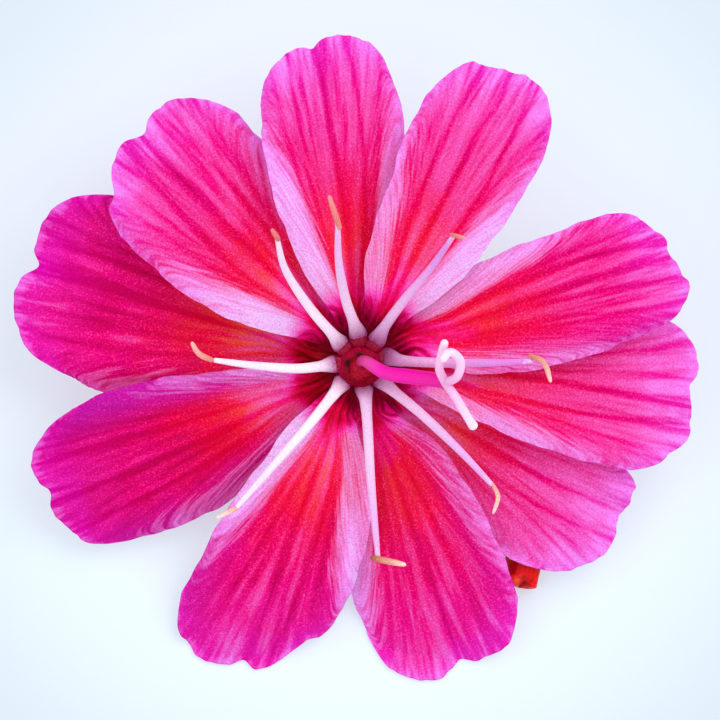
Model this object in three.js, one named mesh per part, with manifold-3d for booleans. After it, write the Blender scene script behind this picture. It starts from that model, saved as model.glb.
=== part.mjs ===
// A lewisia flower, picked and laid down face up. Millimetres, +Z up, resting on z = 0.
//
// Ten petals stand round a leaning throat, each over or under its neighbours. Inside them are
// eight stamens and one pistil, and underneath are two sepals and a curled, cut stem.
// "ccw" and "cw" name a petal's two sides, as seen from above the flower.

import * as THREE from "three";
import { mergeVertices } from "three/addons/utils/BufferGeometryUtils.js";
import Module from "manifold-3d";

const wasm = await Module();
wasm.setup();

const { lerp, smoothstep, degToRad } = THREE.MathUtils;

// ---------- Driving dimensions ----------

const AXIS = [0.205, -0.087]; // where the throat stands, with the whole flower centred on the origin
const THROAT_HEIGHT = 3.6; // of the petals' level at the throat
const LEAN = 17; // degrees that the flower's face leans towards -Y
const BOWL_RISE = [0, 0.95, 1.55, 1.85, 2.0, 2.0, 1.85, 1.6]; // above the throat, each BOWL_STEP out
const BOWL_STEP = 2.5;

const BLADE_THICKNESS = 0.6;
const CLAW_RADIUS = 2.0; // where the petals' narrow bases begin
const CLAW_TURN = 27; // azimuth of the first claw, with the others evenly spaced
const FULL_RADIUS = 2.9; // from here out a petal stands at its full level and twist
const BLADE_RADIUS = 5.5; // from here out a petal follows its own azimuth
const PLEATS = 3; // soft folds across a petal
const PLEAT_DEPTH = 0.08;
const RUFFLE = 0.16; // height of the waves along a petal's tip
const DROOP_START = 0.6; // how far along a petal it begins to hang
const NOTCH_WIDTH = 0.45;
const EDGE_CROWDING = 0.6; // how strongly the lines along a petal crowd towards its two edges

const PETAL_ROWS = 14;
const PETAL_COLUMNS = 12;
const SEPAL_ROWS = 6;
const SEPAL_COLUMNS = 6;

const MERGE_DISTANCE = 1e-3;
const CURVE_STEPS = 200; // frames worked out along each rod's curve
const GAP = 0.3; // between neighbouring pieces
const ROD_SIDES = 7;
const FILAMENT = { base: 0.36, shaft: 0.27, tip: 0.19 }; // radii
const ANTHER = { radius: 0.26, bow: 0.18 };
const OVARY = { radius: 0.78, bottom: -0.25, height: 2.3 };
const STYLE = { start: 0.24, end: 0.32 };
const STIGMA_RADIUS = 0.24;
const RECEPTACLE = { radius: 2.1, top: -0.72, rim: 0.4, depth: 1.6, neck: 1.15 };
const STEM = { width: 2.0, height: 1.6 };

const COLOURS = {
  petal: 0xe8188c,
  filament: 0xf0d4ec,
  anther: 0xe0a878,
  ovary: 0x96001e,
  style: 0xf000a8,
  stigma: 0xf8dcf0,
  sepal: 0x9c2a38,
  stem: 0xc81414,
};

// Each petal: its azimuth, its half-widths on both sides at six even steps from the claw to the
// shoulder, its reach from the flower's axis at eleven steps across the tip from the cw shoulder
// to the ccw one, notches as [place across, depth], and heights near the claw and at the tip:
// level is that of the whole blade, and twist lifts the ccw edge and lowers the cw edge.
const PETALS = [
  {
    azimuth: 18,
    cw: [0.38, 2.1, 3.0, 3.4, 3.45, 3.3],
    ccw: [0.38, 1.9, 2.9, 3.2, 3.3, 3.4],
    tip: [14.8, 16.4, 17.2, 17.7, 17.65, 17.5, 17.4, 17.0, 16.45, 15.9, 14.8],
    notches: [[0.45, 0.25]],
    level: [0.3, 0.3],
    twist: [-0.9, -0.8],
    droop: 0,
  },
  {
    azimuth: 62,
    cw: [0.38, 1.9, 2.8, 3.2, 3.45, 3.45],
    ccw: [0.38, 2.1, 2.75, 3.1, 3.5, 3.45],
    tip: [14.0, 15.55, 16.5, 17.1, 17.4, 17.15, 17.05, 16.85, 16.35, 15.3, 14.0],
    notches: [[1.2, 0.12]],
    level: [1.0, 0.85],
    twist: [0, 0],
    droop: 0.2,
  },
  {
    azimuth: 97,
    cw: [0.38, 1.7, 2.7, 3.4, 3.8, 3.55],
    ccw: [0.38, 2.1, 2.95, 3.5, 3.7, 3.6],
    tip: [14.2, 15.7, 16.5, 17.0, 17.2, 17.05, 16.9, 16.55, 15.95, 15.3, 14.0],
    notches: [[0.5, 0.3]],
    level: [0, 0],
    twist: [0.9, 0.8],
    droop: 0,
  },
  {
    azimuth: 134,
    cw: [0.38, 1.8, 2.9, 3.8, 4.3, 4.35],
    ccw: [0.38, 2.3, 3.5, 4.2, 4.45, 4.5],
    tip: [13.9, 15.2, 16.25, 16.85, 17.0, 16.85, 16.9, 16.5, 15.6, 14.9, 13.5],
    notches: [[-0.05, 0.25], [3.3, 0.25]],
    level: [0, 0],
    twist: [0.9, 0.8],
    droop: 0.2,
  },
  {
    azimuth: 164.5,
    cw: [0.38, 1.8, 3.2, 4.3, 4.9, 4.9],
    ccw: [0.38, 1.8, 3.4, 4.5, 5.2, 4.8],
    tip: [15.0, 16.7, 17.7, 18.2, 18.15, 18.35, 18.65, 18.3, 17.8, 16.9, 15.2],
    notches: [[-0.25, 0.5]],
    level: [-0.95, -0.7],
    twist: [0, 0],
    droop: 0,
  },
  {
    azimuth: 203.5,
    cw: [0.38, 1.6, 2.5, 3.3, 3.8, 3.8],
    ccw: [0.38, 2.0, 3.2, 4.1, 4.15, 3.85],
    tip: [15.0, 16.6, 17.6, 18.2, 18.25, 18.15, 18.15, 17.8, 17.4, 16.5, 15.0],
    notches: [[-0.1, 0.25]],
    level: [0, 0],
    twist: [-0.9, -0.8],
    droop: 0.3,
  },
  {
    azimuth: 248,
    cw: [0.38, 2.2, 2.9, 3.6, 3.9, 4.15],
    ccw: [0.38, 2.0, 3.3, 3.9, 4.1, 3.9],
    tip: [15.0, 16.7, 17.3, 17.85, 17.8, 17.5, 17.3, 16.4, 15.0, 14.4, 13.5],
    notches: [[0.15, 0.3]],
    level: [0.95, 0.75],
    twist: [0, 0],
    droop: 0.9,
  },
  {
    azimuth: 287,
    cw: [0.38, 1.9, 3.0, 3.7, 4.05, 3.9],
    ccw: [0.38, 2.2, 3.2, 3.85, 4.2, 4.35],
    tip: [14.1, 15.75, 16.65, 17.1, 17.45, 17.15, 17.0, 17.0, 16.7, 15.6, 14.5],
    notches: [[0.5, 0.3]],
    level: [0, 0.3],
    twist: [0.9, 0.9],
    droop: 0.4,
  },
  {
    azimuth: 324,
    cw: [0.38, 1.8, 2.9, 3.5, 3.8, 3.85],
    ccw: [0.38, 1.6, 2.4, 3.1, 3.6, 3.7],
    tip: [12.6, 14.0, 15.2, 15.9, 16.35, 16.55, 16.2, 16.0, 15.9, 15.6, 14.4],
    notches: [[1.5, 0.15]],
    level: [-1.05, -0.25],
    twist: [0.1, -0.2],
    droop: 0,
  },
  {
    azimuth: 353,
    cw: [0.38, 1.7, 2.6, 3.3, 3.75, 4.0],
    ccw: [0.38, 1.1, 2.0, 3.0, 3.9, 4.4],
    tip: [14.9, 16.2, 16.9, 17.65, 17.8, 17.7, 17.75, 17.8, 17.25, 16.4, 15.0],
    notches: [[0.8, 0.3]],
    level: [-0.1, 0],
    twist: [-0.9, -0.9],
    droop: 0,
  },
];

// The two sepals, alike: half-widths at even steps from the base to the shoulder, reach from the
// flower's axis across the pointed tip, and heights at the base and beyond the full radius.
const SEPALS = {
  azimuths: [104, 284],
  halfWidth: [1.0, 1.7, 2.05, 2.1, 1.8, 1.2],
  tip: [5.4, 5.8, 6.2, 6.5, 6.75, 6.9, 6.75, 6.5, 6.2, 5.8, 5.4],
  start: 2.5,
  fullRadius: 3.2,
  baseLevel: -1.75,
  level: -2.15,
};

// Each stamen: its filament's points as [x, y, height above the petals' level], and its anther
// from one end to the other, with heights above the filament's tip.
const STAMENS = [
  {
    filament: [
      [-1.0, 0.85, 0.35], [-1.52, 1.45, 1.9], [-2.68, 2.81, 2.5], [-4.0, 4.9, 3.7], [-4.4, 6.5, 4.6],
    ],
    anther: [[-4.1, 6.3, 0], [-4.6, 7.3, 1.2]],
  },
  {
    filament: [
      [-0.12, 1.32, 0.35], [-0.4, 2.15, 2.05], [-0.77, 3.2, 2.6], [-1.15, 5.2, 4.2], [-1.2, 7.3, 5.3],
    ],
    anther: [[-0.9, 7.1, 0], [-1.5, 8.9, 0.4]],
  },
  {
    filament: [
      [0.8, 1.03, 0.4], [1.4, 2.0, 2.4], [2.25, 3.15, 3.1], [3.7, 4.9, 3.8], [4.9, 6.6, 4.8],
    ],
    anther: [[4.5, 6.7, -0.4], [5.6, 6.5, 0.9]],
  },
  {
    filament: [
      [1.36, 0.22, 0.35], [2.2, 0.02, 1.95], [4.2, -0.1, 2.9], [6.9, -0.1, 4.0], [9.1, 0, 4.6],
    ],
    anther: [[8.8, 0.35, 0], [10.0, -1.1, 0.2]],
  },
  {
    filament: [
      [1.01, -0.94, 0.4], [1.75, -1.6, 2.1], [3.15, -2.75, 2.5], [5.4, -4.9, 3.3], [7.1, -6.8, 3.6],
    ],
    anther: [[6.95, -6.6, 0.2], [7.15, -8.0, 0.3]],
  },
  {
    filament: [
      [0.17, -1.43, 0.4], [0.28, -2.2, 2.1], [0.36, -3.3, 2.35], [0.55, -6.4, 2.4], [0.93, -10.5, 2.4],
    ],
    anther: [[0.45, -10.5, 0], [2.36, -10.9, 0.2]],
  },
  {
    filament: [
      [-0.93, -1.1, 0.35], [-1.42, -1.75, 2.0], [-2.5, -3.1, 2.4], [-4.5, -5.4, 2.5], [-6.6, -7.8, 2.5],
    ],
    anther: [[-6.6, -7.85, 0.2], [-7.7, -8.4, 1.1]],
  },
  {
    filament: [
      [-1.38, -0.15, 0.35], [-2.25, -0.3, 1.85], [-3.4, -0.4, 2.3], [-5.5, -0.25, 2.7], [-7.8, 0.05, 2.8],
    ],
    anther: [[-7.7, -0.1, 0.1], [-9.0, 1.3, 0.3]],
  },
];
const ANTHER_GRIP = 0.22; // how far along an anther its filament holds it

// The style, and the stigma's arms: the first path is two arms end to end, and the third arm
// grows out of its middle. All as [x, y, z].
const STYLE_PATH = [[0.25, -0.1, 6.1], [1.3, -0.62, 7.0], [2.7, -0.84, 8.1], [4.02, -1.0, 9.08]];
const STIGMA_ARMS = [
  [
    [6.05, -3.6, 10.5],
    [5.6, -2.9, 10.3],
    [5.0, -1.9, 9.9],
    [4.45, -1.1, 9.6],
    [4.15, -0.4, 9.9],
    [4.3, 0.5, 10.5],
    [4.45, 1.05, 11.2],
  ],
  [[4.5, -1.15, 9.62], [5.1, -0.8, 10.4], [5.25, 0.0, 10.9], [4.7, 0.45, 11.5], [4.25, 0.0, 11.9]],
];

// The stem: from the receptacle back and down, round over the surface, to its cut end.
const STEM_PATH = [
  [0, 0.45, 2.1],
  [-0.3, 1.6, 1.25],
  [0.5, 3.2, 0.85],
  [3.1, 3.9, 0.76],
  [6.4, 2.1, 0.76],
  [8.7, -1.6, 0.76],
  [9.6, -6.0, 0.76],
  [8.4, -12.0, 0.76],
];
const STEM_STEPS = 20;
const STEM_SIDES = 10;

// ---------- The form of the flower ----------

// A smooth curve through evenly spaced values, read at x from 0 to 1.
function spline(values, x) {
  const at = Math.min(Math.max(x, 0), 1) * (values.length - 1);
  const i = Math.min(Math.floor(at), values.length - 2);
  const f = at - i;
  const b = values[i];
  const c = values[i + 1];
  const a = i > 0 ? values[i - 1] : 2 * b - c;
  const d = i + 2 < values.length ? values[i + 2] : 2 * c - b;
  return b + 0.5 * f * (c - a + f * (2 * a - 5 * b + 4 * c - d + f * (3 * (b - c) + d - a)));
}

// The height of the petals' common level at a place, measured from the throat's centre.
function corolla(x, y) {
  const rise = spline(BOWL_RISE, Math.hypot(x, y) / BOWL_STEP / (BOWL_RISE.length - 1));
  return THROAT_HEIGHT + y * Math.tan(degToRad(LEAN)) + rise;
}

// One petal as a function of s, along it, and x, across it from the cw edge (-1) to the ccw (1).
function petalPlace(petal, claw, s, x) {
  const t = EDGE_CROWDING * Math.sin((x * Math.PI) / 2) + (1 - EDGE_CROWDING) * x;
  const halfWidths = t < 0 ? petal.cw : petal.ccw;
  const across = t * spline(halfWidths, s);
  let reach = spline(petal.tip, (x + 1) / 2);
  for (const [place, depth] of petal.notches) {
    const off = (t * spline(halfWidths, 1) - place) / NOTCH_WIDTH;
    reach -= depth * Math.exp(-(off ** 2));
  }
  const along = lerp(CLAW_RADIUS, reach, s);
  const turn = degToRad(lerp(claw, petal.azimuth, smoothstep(along, CLAW_RADIUS, BLADE_RADIUS)));
  const px = along * Math.cos(turn) - across * Math.sin(turn);
  const py = along * Math.sin(turn) + across * Math.cos(turn);

  const open = smoothstep(along, CLAW_RADIUS, FULL_RADIUS);
  const level = lerp(petal.level[0], petal.level[1], s) * open;
  const twist = lerp(petal.twist[0], petal.twist[1], s) * open;
  const droop = petal.droop * Math.max(0, (s - DROOP_START) / (1 - DROOP_START)) ** 2;
  const pleat = PLEAT_DEPTH * Math.cos(PLEATS * Math.PI * x) * smoothstep(s, 0.15, 0.5);
  const ruffle = RUFFLE * Math.sin(2.5 * Math.PI * x + petal.azimuth) * s ** 4;
  return new THREE.Vector3(px, py, corolla(px, py) + level + twist * t - droop + pleat + ruffle);
}

// One sepal, close under the petals.
function sepalPlace(azimuth, s, x) {
  const across = x * spline(SEPALS.halfWidth, s);
  const along = lerp(SEPALS.start, spline(SEPALS.tip, (x + 1) / 2), s);
  const turn = degToRad(azimuth);
  const px = along * Math.cos(turn) - across * Math.sin(turn);
  const py = along * Math.sin(turn) + across * Math.cos(turn);
  const lowered = smoothstep(along, SEPALS.start, SEPALS.fullRadius);
  const level = lerp(SEPALS.baseLevel, SEPALS.level, lowered);
  return new THREE.Vector3(px, py, corolla(px, py) + level);
}

// ---------- Making solids ----------

// A closed blade of even thickness round a middle surface, given as place(s, x). Both faces are
// split into triangles alike. Where it would sink into the surface it lies flat on it.
function blade(place, rows, columns) {
  const positions = [];
  const index = [];
  const width = columns + 1;
  const layer = (rows + 1) * width;
  for (const side of [1, -1]) {
    for (let i = 0; i <= rows; i++) {
      for (let j = 0; j <= columns; j++) {
        const s = i / rows;
        const x = (2 * j) / columns - 1;
        const here = place(s, x);
        const half = 0.5 * BLADE_THICKNESS * steepness(place, s, x);
        const middle = Math.max(here.z, half);
        positions.push(here.x, here.y, middle + side * half);
      }
    }
  }
  const quad = (a, b, c, d) => index.push(a, b, c, a, c, d);
  for (let i = 0; i < rows; i++) {
    for (let j = 0; j < columns; j++) {
      const a = i * width + j;
      const [b, c, d] = [a + width, a + width + 1, a + 1];
      quad(a, b, c, d);
      quad(layer + a, layer + d, layer + c, layer + b);
    }
  }
  for (let i = 0; i < rows; i++) {
    const a = i * width;
    const b = a + width;
    quad(a, layer + a, layer + b, b);
    quad(b + columns, layer + b + columns, layer + a + columns, a + columns);
  }
  for (let j = 0; j < columns; j++) {
    const end = rows * width;
    quad(j + 1, layer + j + 1, layer + j, j);
    quad(end + j, layer + end + j, layer + end + j + 1, end + j + 1);
  }
  const geometry = new THREE.BufferGeometry();
  geometry.setAttribute("position", new THREE.Float32BufferAttribute(positions, 3));
  geometry.setIndex(index);
  return geometry;
}

// How much further apart the two faces stand, measured upright, where a blade is steep.
function steepness(place, s, x) {
  const step = 0.02;
  const steepest = 0.5; // the least upright normal that is allowed for
  const along = place(Math.min(s + step, 1), x).sub(place(Math.max(s - step, 0), x));
  const across = place(s, Math.min(x + step, 1)).sub(place(s, Math.max(x - step, -1)));
  const normal = along.cross(across).normalize();
  return 1 / Math.max(Math.abs(normal.z), steepest);
}

// A rod along a curve. The profile's points are [place along from 0 to 1, radius], and it is a
// lathed shape whose every ring is carried to its place on the curve. Its section is round, or
// squashed from above, with a facet and not an edge at its very bottom.
function rod(curve, profile, { sides = ROD_SIDES, squash = 1 } = {}) {
  const ends = [[profile[0][0], 0], ...profile, [profile.at(-1)[0], 0]];
  const geometry = new THREE.LatheGeometry(
    ends.map(([place, radius]) => new THREE.Vector2(radius, place)),
    sides,
    Math.PI / sides,
  );
  const { tangents, normals, binormals } = curve.computeFrenetFrames(CURVE_STEPS, false);
  const position = geometry.attributes.position;
  for (let i = 0; i < position.count; i++) {
    const place = position.getY(i);
    const frame = Math.round(place * CURVE_STEPS);
    let across = binormals[frame];
    let up = normals[frame];
    if (squash !== 1) {
      across = new THREE.Vector3(0, 0, 1).cross(tangents[frame]).normalize();
      up = tangents[frame].clone().cross(across);
    }
    const at = curve.getPointAt(place);
    at.addScaledVector(across, position.getX(i)).addScaledVector(up, position.getZ(i) * squash);
    position.setXYZ(i, at.x, at.y, Math.max(at.z, 0));
  }
  return closed(geometry);
}

// The geometry with shared vertices merged, so that it is one closed body facing outwards.
function closed(geometry) {
  geometry.deleteAttribute("normal");
  geometry.deleteAttribute("uv");
  const merged = mergeVertices(geometry, MERGE_DISTANCE);
  const p = merged.attributes.position;
  const kept = [];
  let volume = 0;
  for (let i = 0; i < merged.index.count; i += 3) {
    const [a, b, c] = [0, 1, 2].map((k) => merged.index.getX(i + k));
    if (a === b || b === c || c === a) continue;
    kept.push(a, b, c);
    const [u, v, w] = [a, b, c].map((k) => new THREE.Vector3().fromBufferAttribute(p, k));
    volume += u.dot(v.cross(w));
  }
  if (volume < 0) kept.reverse();
  merged.setIndex(kept);
  return merged;
}

function toSolid(geometry) {
  return new wasm.Manifold(
    new wasm.Mesh({
      numProp: 3,
      vertProperties: new Float32Array(geometry.attributes.position.array),
      triVerts: new Uint32Array(geometry.index.array),
    }),
  );
}

// Several overlapping geometries joined into one.
function join(geometries) {
  const mesh = geometries
    .map(toSolid)
    .reduce((whole, piece) => whole.add(piece))
    .getMesh();
  const geometry = new THREE.BufferGeometry();
  geometry.setAttribute("position", new THREE.BufferAttribute(new Float32Array(mesh.vertProperties), 3));
  geometry.setIndex(new THREE.BufferAttribute(new Uint32Array(mesh.triVerts), 1));
  return geometry;
}

function curveThrough(points) {
  return new THREE.CatmullRomCurve3(points.map((p) => new THREE.Vector3(...p)));
}

// ---------- The pieces ----------

const flower = new THREE.Group();
flower.position.set(AXIS[0], AXIS[1], 0);

function addPiece(name, geometry, colour, roughness) {
  const material = new THREE.MeshStandardMaterial({ color: colour, roughness, metalness: 0 });
  geometry.computeVertexNormals();
  const mesh = new THREE.Mesh(geometry, material);
  mesh.name = name;
  flower.add(mesh);
}

function addPetals() {
  PETALS.forEach((petal, i) => {
    const claw = CLAW_TURN + (360 / PETALS.length) * i;
    const place = (s, x) => petalPlace(petal, claw, s, x);
    const name = `petal_${String(i + 1).padStart(2, "0")}`;
    addPiece(name, blade(place, PETAL_ROWS, PETAL_COLUMNS), COLOURS.petal, 0.5);
  });
}

function addSepals() {
  SEPALS.azimuths.forEach((azimuth, i) => {
    const geometry = blade((s, x) => sepalPlace(azimuth, s, x), SEPAL_ROWS, SEPAL_COLUMNS);
    addPiece(`sepal_${i + 1}`, geometry, COLOURS.sepal, 0.6);
  });
}

// The filament stops short of its anther by the gap and the anther's own radius.
function filament(points) {
  const curve = curveThrough(points.map(([x, y, rise]) => [x, y, corolla(x, y) + rise]));
  const stop = 1 - (ANTHER.radius + GAP) / curve.getLength();
  const profile = [0, 0.08, 0.2, 0.35, 0.5, 0.65, 0.8, 0.92, 1].map((f) => {
    const flared = lerp(FILAMENT.base, FILAMENT.shaft, smoothstep(f, 0, 0.2));
    return [f * stop, lerp(flared, FILAMENT.tip, smoothstep(f, 0.3, 1))];
  });
  return { geometry: rod(curve, profile), tip: curve.getPointAt(1) };
}

// A slim, slightly bowed pod with round ends, held near one end.
function anther(tip, [from, to]) {
  const start = new THREE.Vector3(from[0], from[1], tip.z + from[2]);
  const end = new THREE.Vector3(to[0], to[1], tip.z + to[2]);
  const middle = start.clone().lerp(end, 0.5);
  middle.z += ANTHER.bow;
  const held = start.clone().lerp(end, ANTHER_GRIP);
  const curve = new THREE.CatmullRomCurve3([start, middle, end].map((p) => p.add(tip).sub(held)));
  const profile = [0.02, 0.12, 0.3, 0.5, 0.7, 0.88, 0.98].map((f) => {
    return [f, ANTHER.radius * Math.sqrt(Math.sin(Math.PI * f))];
  });
  return rod(curve, profile, { sides: 6 });
}

function addStamens() {
  STAMENS.forEach((stamen, i) => {
    const { geometry, tip } = filament(stamen.filament);
    addPiece(`filament_${i + 1}`, geometry, COLOURS.filament, 0.45);
    addPiece(`anther_${i + 1}`, anther(tip, stamen.anther), COLOURS.anther, 0.8);
  });
}

// The flower's own axis at the throat: [0, 0, height above the petals' level] leaning forwards.
function onAxis(height) {
  const lean = degToRad(LEAN);
  return [0, -height * Math.sin(lean), THROAT_HEIGHT + height * Math.cos(lean)];
}

function addPistil() {
  const { radius, bottom, height } = OVARY;
  const axis = curveThrough([onAxis(bottom), onAxis(bottom + height / 2), onAxis(bottom + height)]);
  const swell = [[0.02, 0.55], [0.15, 0.9], [0.35, 1], [0.55, 0.93], [0.75, 0.7], [0.9, 0.42], [1, 0.3]];
  addPiece("ovary", rod(axis, swell.map(([f, r]) => [f, r * radius]), { sides: 10 }), COLOURS.ovary, 0.5);

  const style = [0, 0.2, 0.4, 0.6, 0.8, 1].map((f) => [f, lerp(STYLE.start, STYLE.end, f)]);
  addPiece("style", rod(curveThrough(STYLE_PATH), style), COLOURS.style, 0.35);

  const arm = [0, 0.15, 0.3, 0.45, 0.6, 0.75, 0.9, 1].map((f) => [f, STIGMA_RADIUS * (1.1 - 0.2 * f)]);
  const arms = STIGMA_ARMS.map((points) => rod(curveThrough(points), arm));
  addPiece("stigma", join(arms), COLOURS.stigma, 0.4);
}

// The receptacle is the swollen top of the stem, which the ovary, stamens and petals stand on.
function addStem() {
  const { radius, top, rim, depth, neck } = RECEPTACLE;
  const axis = curveThrough([onAxis(top), onAxis(top - depth / 2), onAxis(top - depth)]);
  const flare = [[0, radius], [rim / depth, radius], [0.6, lerp(neck, radius, 0.4)], [1, neck]];
  const receptacle = rod(axis, flare, { sides: 16 });

  const radii = Array.from({ length: STEM_STEPS + 1 }, (_, i) => [i / STEM_STEPS, STEM.width / 2]);
  const squash = STEM.height / STEM.width;
  const stem = rod(curveThrough(STEM_PATH), radii, { sides: STEM_SIDES, squash });
  addPiece("stem", join([receptacle, stem]), COLOURS.stem, 0.45);
}

addPetals();
addSepals();
addStamens();
addPistil();
addStem();

export default flower;
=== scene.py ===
"""A lewisia flower, picked and laid face up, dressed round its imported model.

Everything is worked out in millimetres on the flower's own axis and then set down in metres in
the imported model's frame. "ccw" and "cw" name a petal's two sides as seen from above. On a
petal, s goes from 0 at its claw to 1 at its tip, and x from -1 at its cw edge to 1 at the other.
"""

from __future__ import annotations

import logging
import math
from dataclasses import dataclass
from enum import Enum
from typing import Any, Callable, Sequence

import bpy
import numpy as np
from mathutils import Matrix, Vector

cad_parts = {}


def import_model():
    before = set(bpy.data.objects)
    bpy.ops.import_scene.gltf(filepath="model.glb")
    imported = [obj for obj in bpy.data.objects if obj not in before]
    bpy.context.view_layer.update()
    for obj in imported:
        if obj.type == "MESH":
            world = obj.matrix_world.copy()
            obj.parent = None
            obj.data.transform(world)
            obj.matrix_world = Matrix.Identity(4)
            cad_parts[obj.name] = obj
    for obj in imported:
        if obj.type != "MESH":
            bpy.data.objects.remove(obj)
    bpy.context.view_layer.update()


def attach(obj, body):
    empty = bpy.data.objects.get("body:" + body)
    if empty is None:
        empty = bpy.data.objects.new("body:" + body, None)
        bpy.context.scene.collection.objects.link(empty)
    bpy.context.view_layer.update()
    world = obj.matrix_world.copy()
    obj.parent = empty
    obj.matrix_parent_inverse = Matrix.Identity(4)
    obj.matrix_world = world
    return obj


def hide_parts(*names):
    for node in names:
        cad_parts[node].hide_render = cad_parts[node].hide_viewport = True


log = logging.getLogger("lewisia")

MM = 0.001
AXIS = (0.205, -0.087)  # where the throat stands, mm
THROAT_HEIGHT = 3.6
LEAN = math.radians(17)  # of the flower's face towards -Y
BOWL_RISE = (0, 0.95, 1.55, 1.85, 2.0, 2.0, 1.85, 1.6)  # above the throat, each step out
BOWL_STEP = 2.5

CLAW_RADIUS = 2.0  # where the petals' narrow bases begin
CLAW_TURN = 27.0  # azimuth of the first claw, in degrees
CLAW_SPACING = 36
FULL_RADIUS = 2.9  # from here out a petal stands at its full level and twist
BLADE_RADIUS = 5.5  # from here out a petal follows its own azimuth
NOTCH_WIDTH = 0.45
CLAW_FLARE = 0.34  # how much a petal broadens next to its claw
TIP_WAVES, TIP_WAVE = (5, 9, 14, 23), 0.16  # how many along its tip, and how deep
SIDE_WAVES, SIDE_WAVE = (4, 7, 12), 0.144  # and along each side
SWELLS, SWELL = 5, 0.03  # soft swellings of a blade, and their height
TIP_CURL = 0.07  # height of the fine curls at its very tip
PLEATS = 3
PLEAT_DEPTH = 0.08
RUFFLE = 0.16  # height of the waves along a petal's tip
DROOP_START = 0.6  # how far along a petal it begins to hang
FURROW = 0.045  # depth of a vein's furrow
SOLID_HALF = 0.3  # half of a solid petal's thickness

FAN_EDGE = 0.84  # where the barbs leave the fan of veins
VEINLETS = 10  # between the bold veins
BARBS = 10  # on each side
BARB_SWEEP, BARB_CURVE, BARB_EASE = 0.85, 0.9, 0.25  # how a barb sweeps out of the fan
BOLD_CORE, FORK_CORE, FINE_CORE = 0.2, 0.1, 0.08  # half-widths of veins
HALO = 2.6  # a vein's soft halo, as a multiple of its core

FOOT_REACH = 9.5  # length over which a filament's foot spreads its colours
KNOB_ANGLES = (139.6, 95.2, 52.2, 9.2, -42.9, -83.2, -130.2, 186.2)  # the filaments' feet
KNOB_TURN = 123.7
SHADED_PIT_ANGLES = (2.8, 1.57, -0.07)  # painted shade: dark pits between the ovary and its ring, in radians
LOBE_TURN = 0.5  # of the ovary's lobes
ARM_FADE = 0.15  # how far the stigma's arms take its second run of colours

PETAL_PLACES = (0.0, 0.05, 0.09, 0.14, 0.2, 0.3, 0.42, 0.56, 0.7, 0.84, 0.94, 1.0)
MIDDLE = (0.3, 0.7)  # where nearly all of a noise's values lie
TISSUE_IOR = 1.4
TURN = 6.28  # the span of random phases

Array = np.ndarray
Points = Sequence[tuple[float, float, float]]
Pairs = tuple[tuple[float, float], ...]
Stops = tuple[tuple[float, str], ...]
Span = tuple[float, float]
Socket = bpy.types.NodeSocket
Value = Socket | float | tuple[float, ...]


# ---------- Colour and nodes ----------


def colour(code: str) -> tuple[float, float, float, float]:
    """Turns an sRGB hex colour to linear light.

    Args:
        code: The colour as "#RRGGBB".

    Returns:
        Linear red, green and blue, with an alpha of 1.
    """
    parts = [int(code[i : i + 2], 16) / 255 for i in (1, 3, 5)]
    linear = [p / 12.92 if p <= 0.04045 else ((p + 0.055) / 1.055) ** 2.4 for p in parts]
    return (*linear, 1.0)


def add_node(
    tree: bpy.types.NodeTree,
    kind: str,
    inputs: dict[str | int, Any] | None = None,
    stops: Stops | None = None,
    **settings: Any,
) -> bpy.types.Node:
    """Adds one node with its settings, its values and its links.

    Args:
        tree: The node tree that it goes into.
        kind: The node's type, without the word "ShaderNode".
        inputs: Each input's name or number, with a value or the socket that feeds it.
        stops: For a colour ramp, its places and hex colours.
        settings: The node's own properties.

    Returns:
        The new node.
    """
    made = tree.nodes.new("ShaderNode" + kind)
    for name, value in settings.items():
        setattr(made, name, value)
    for key, value in (inputs or {}).items():
        socket = made.inputs[key]
        if isinstance(value, bpy.types.NodeSocket):
            tree.links.new(value, socket)
        else:
            socket.default_value = value
    if stops:
        ramp = made.color_ramp
        while len(ramp.elements) < len(stops):
            ramp.elements.new(1.0)
        for element, (place, code) in zip(ramp.elements, stops):
            element.position = place
            element.color = colour(code)
    return made


# ---------- Curves and numbers ----------


def spline(values: Sequence[float], x: Array) -> Array:
    """A smooth curve through evenly spaced values.

    Args:
        values: The values that the curve passes through.
        x: Where to read it, from 0 to 1.

    Returns:
        The curve's value at each place.
    """
    v = np.array([2 * values[0] - values[1], *values, 2 * values[-1] - values[-2]], float)
    last = len(values) - 1
    at = np.clip(x, 0, 1) * last
    i = np.minimum(np.floor(at).astype(int), last - 1)
    f = at - i
    a, b, c, d = v[i], v[i + 1], v[i + 2], v[i + 3]
    return b + 0.5 * f * (c - a + f * (2 * a - 5 * b + 4 * c - d + f * (3 * (b - c) + d - a)))


def smoothstep(x: Array, low: float, high: float) -> Array:
    """Rises smoothly from 0 at low to 1 at high."""
    t = np.clip((x - low) / (high - low), 0, 1)
    return t * t * (3 - 2 * t)


def lerp(a: Array | float, b: Array | float, f: Array | float) -> Array | float:
    """Goes from a to b as f goes from 0 to 1."""
    return a + (b - a) * f


def hump(x: Array, centre: float, width: Array | float) -> Array:
    """Rises to 1 at a centre and falls off smoothly on both sides."""
    return np.exp(-(((x - centre) / width) ** 2))


def between(angle: Array, home: float) -> Array:
    """How far an angle lies from home the shorter way round, in radians."""
    return np.angle(np.exp(1j * (angle - home)))


def turned(along: Array, across: Array, turn: Array | float) -> tuple[Array, Array]:
    """Where places along and across a blade lie when it points at an azimuth, in radians."""
    px = along * np.cos(turn) - across * np.sin(turn)
    return px, along * np.sin(turn) + across * np.cos(turn)


def fullness(s: Array, x: Array, reach: float) -> Array:
    """How full a blade is: 0 on its margin and 1 from a reach inwards of it."""
    return smoothstep(np.minimum(1 - np.abs(x), (1 - s) * 1.5), 0.0, reach)


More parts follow.
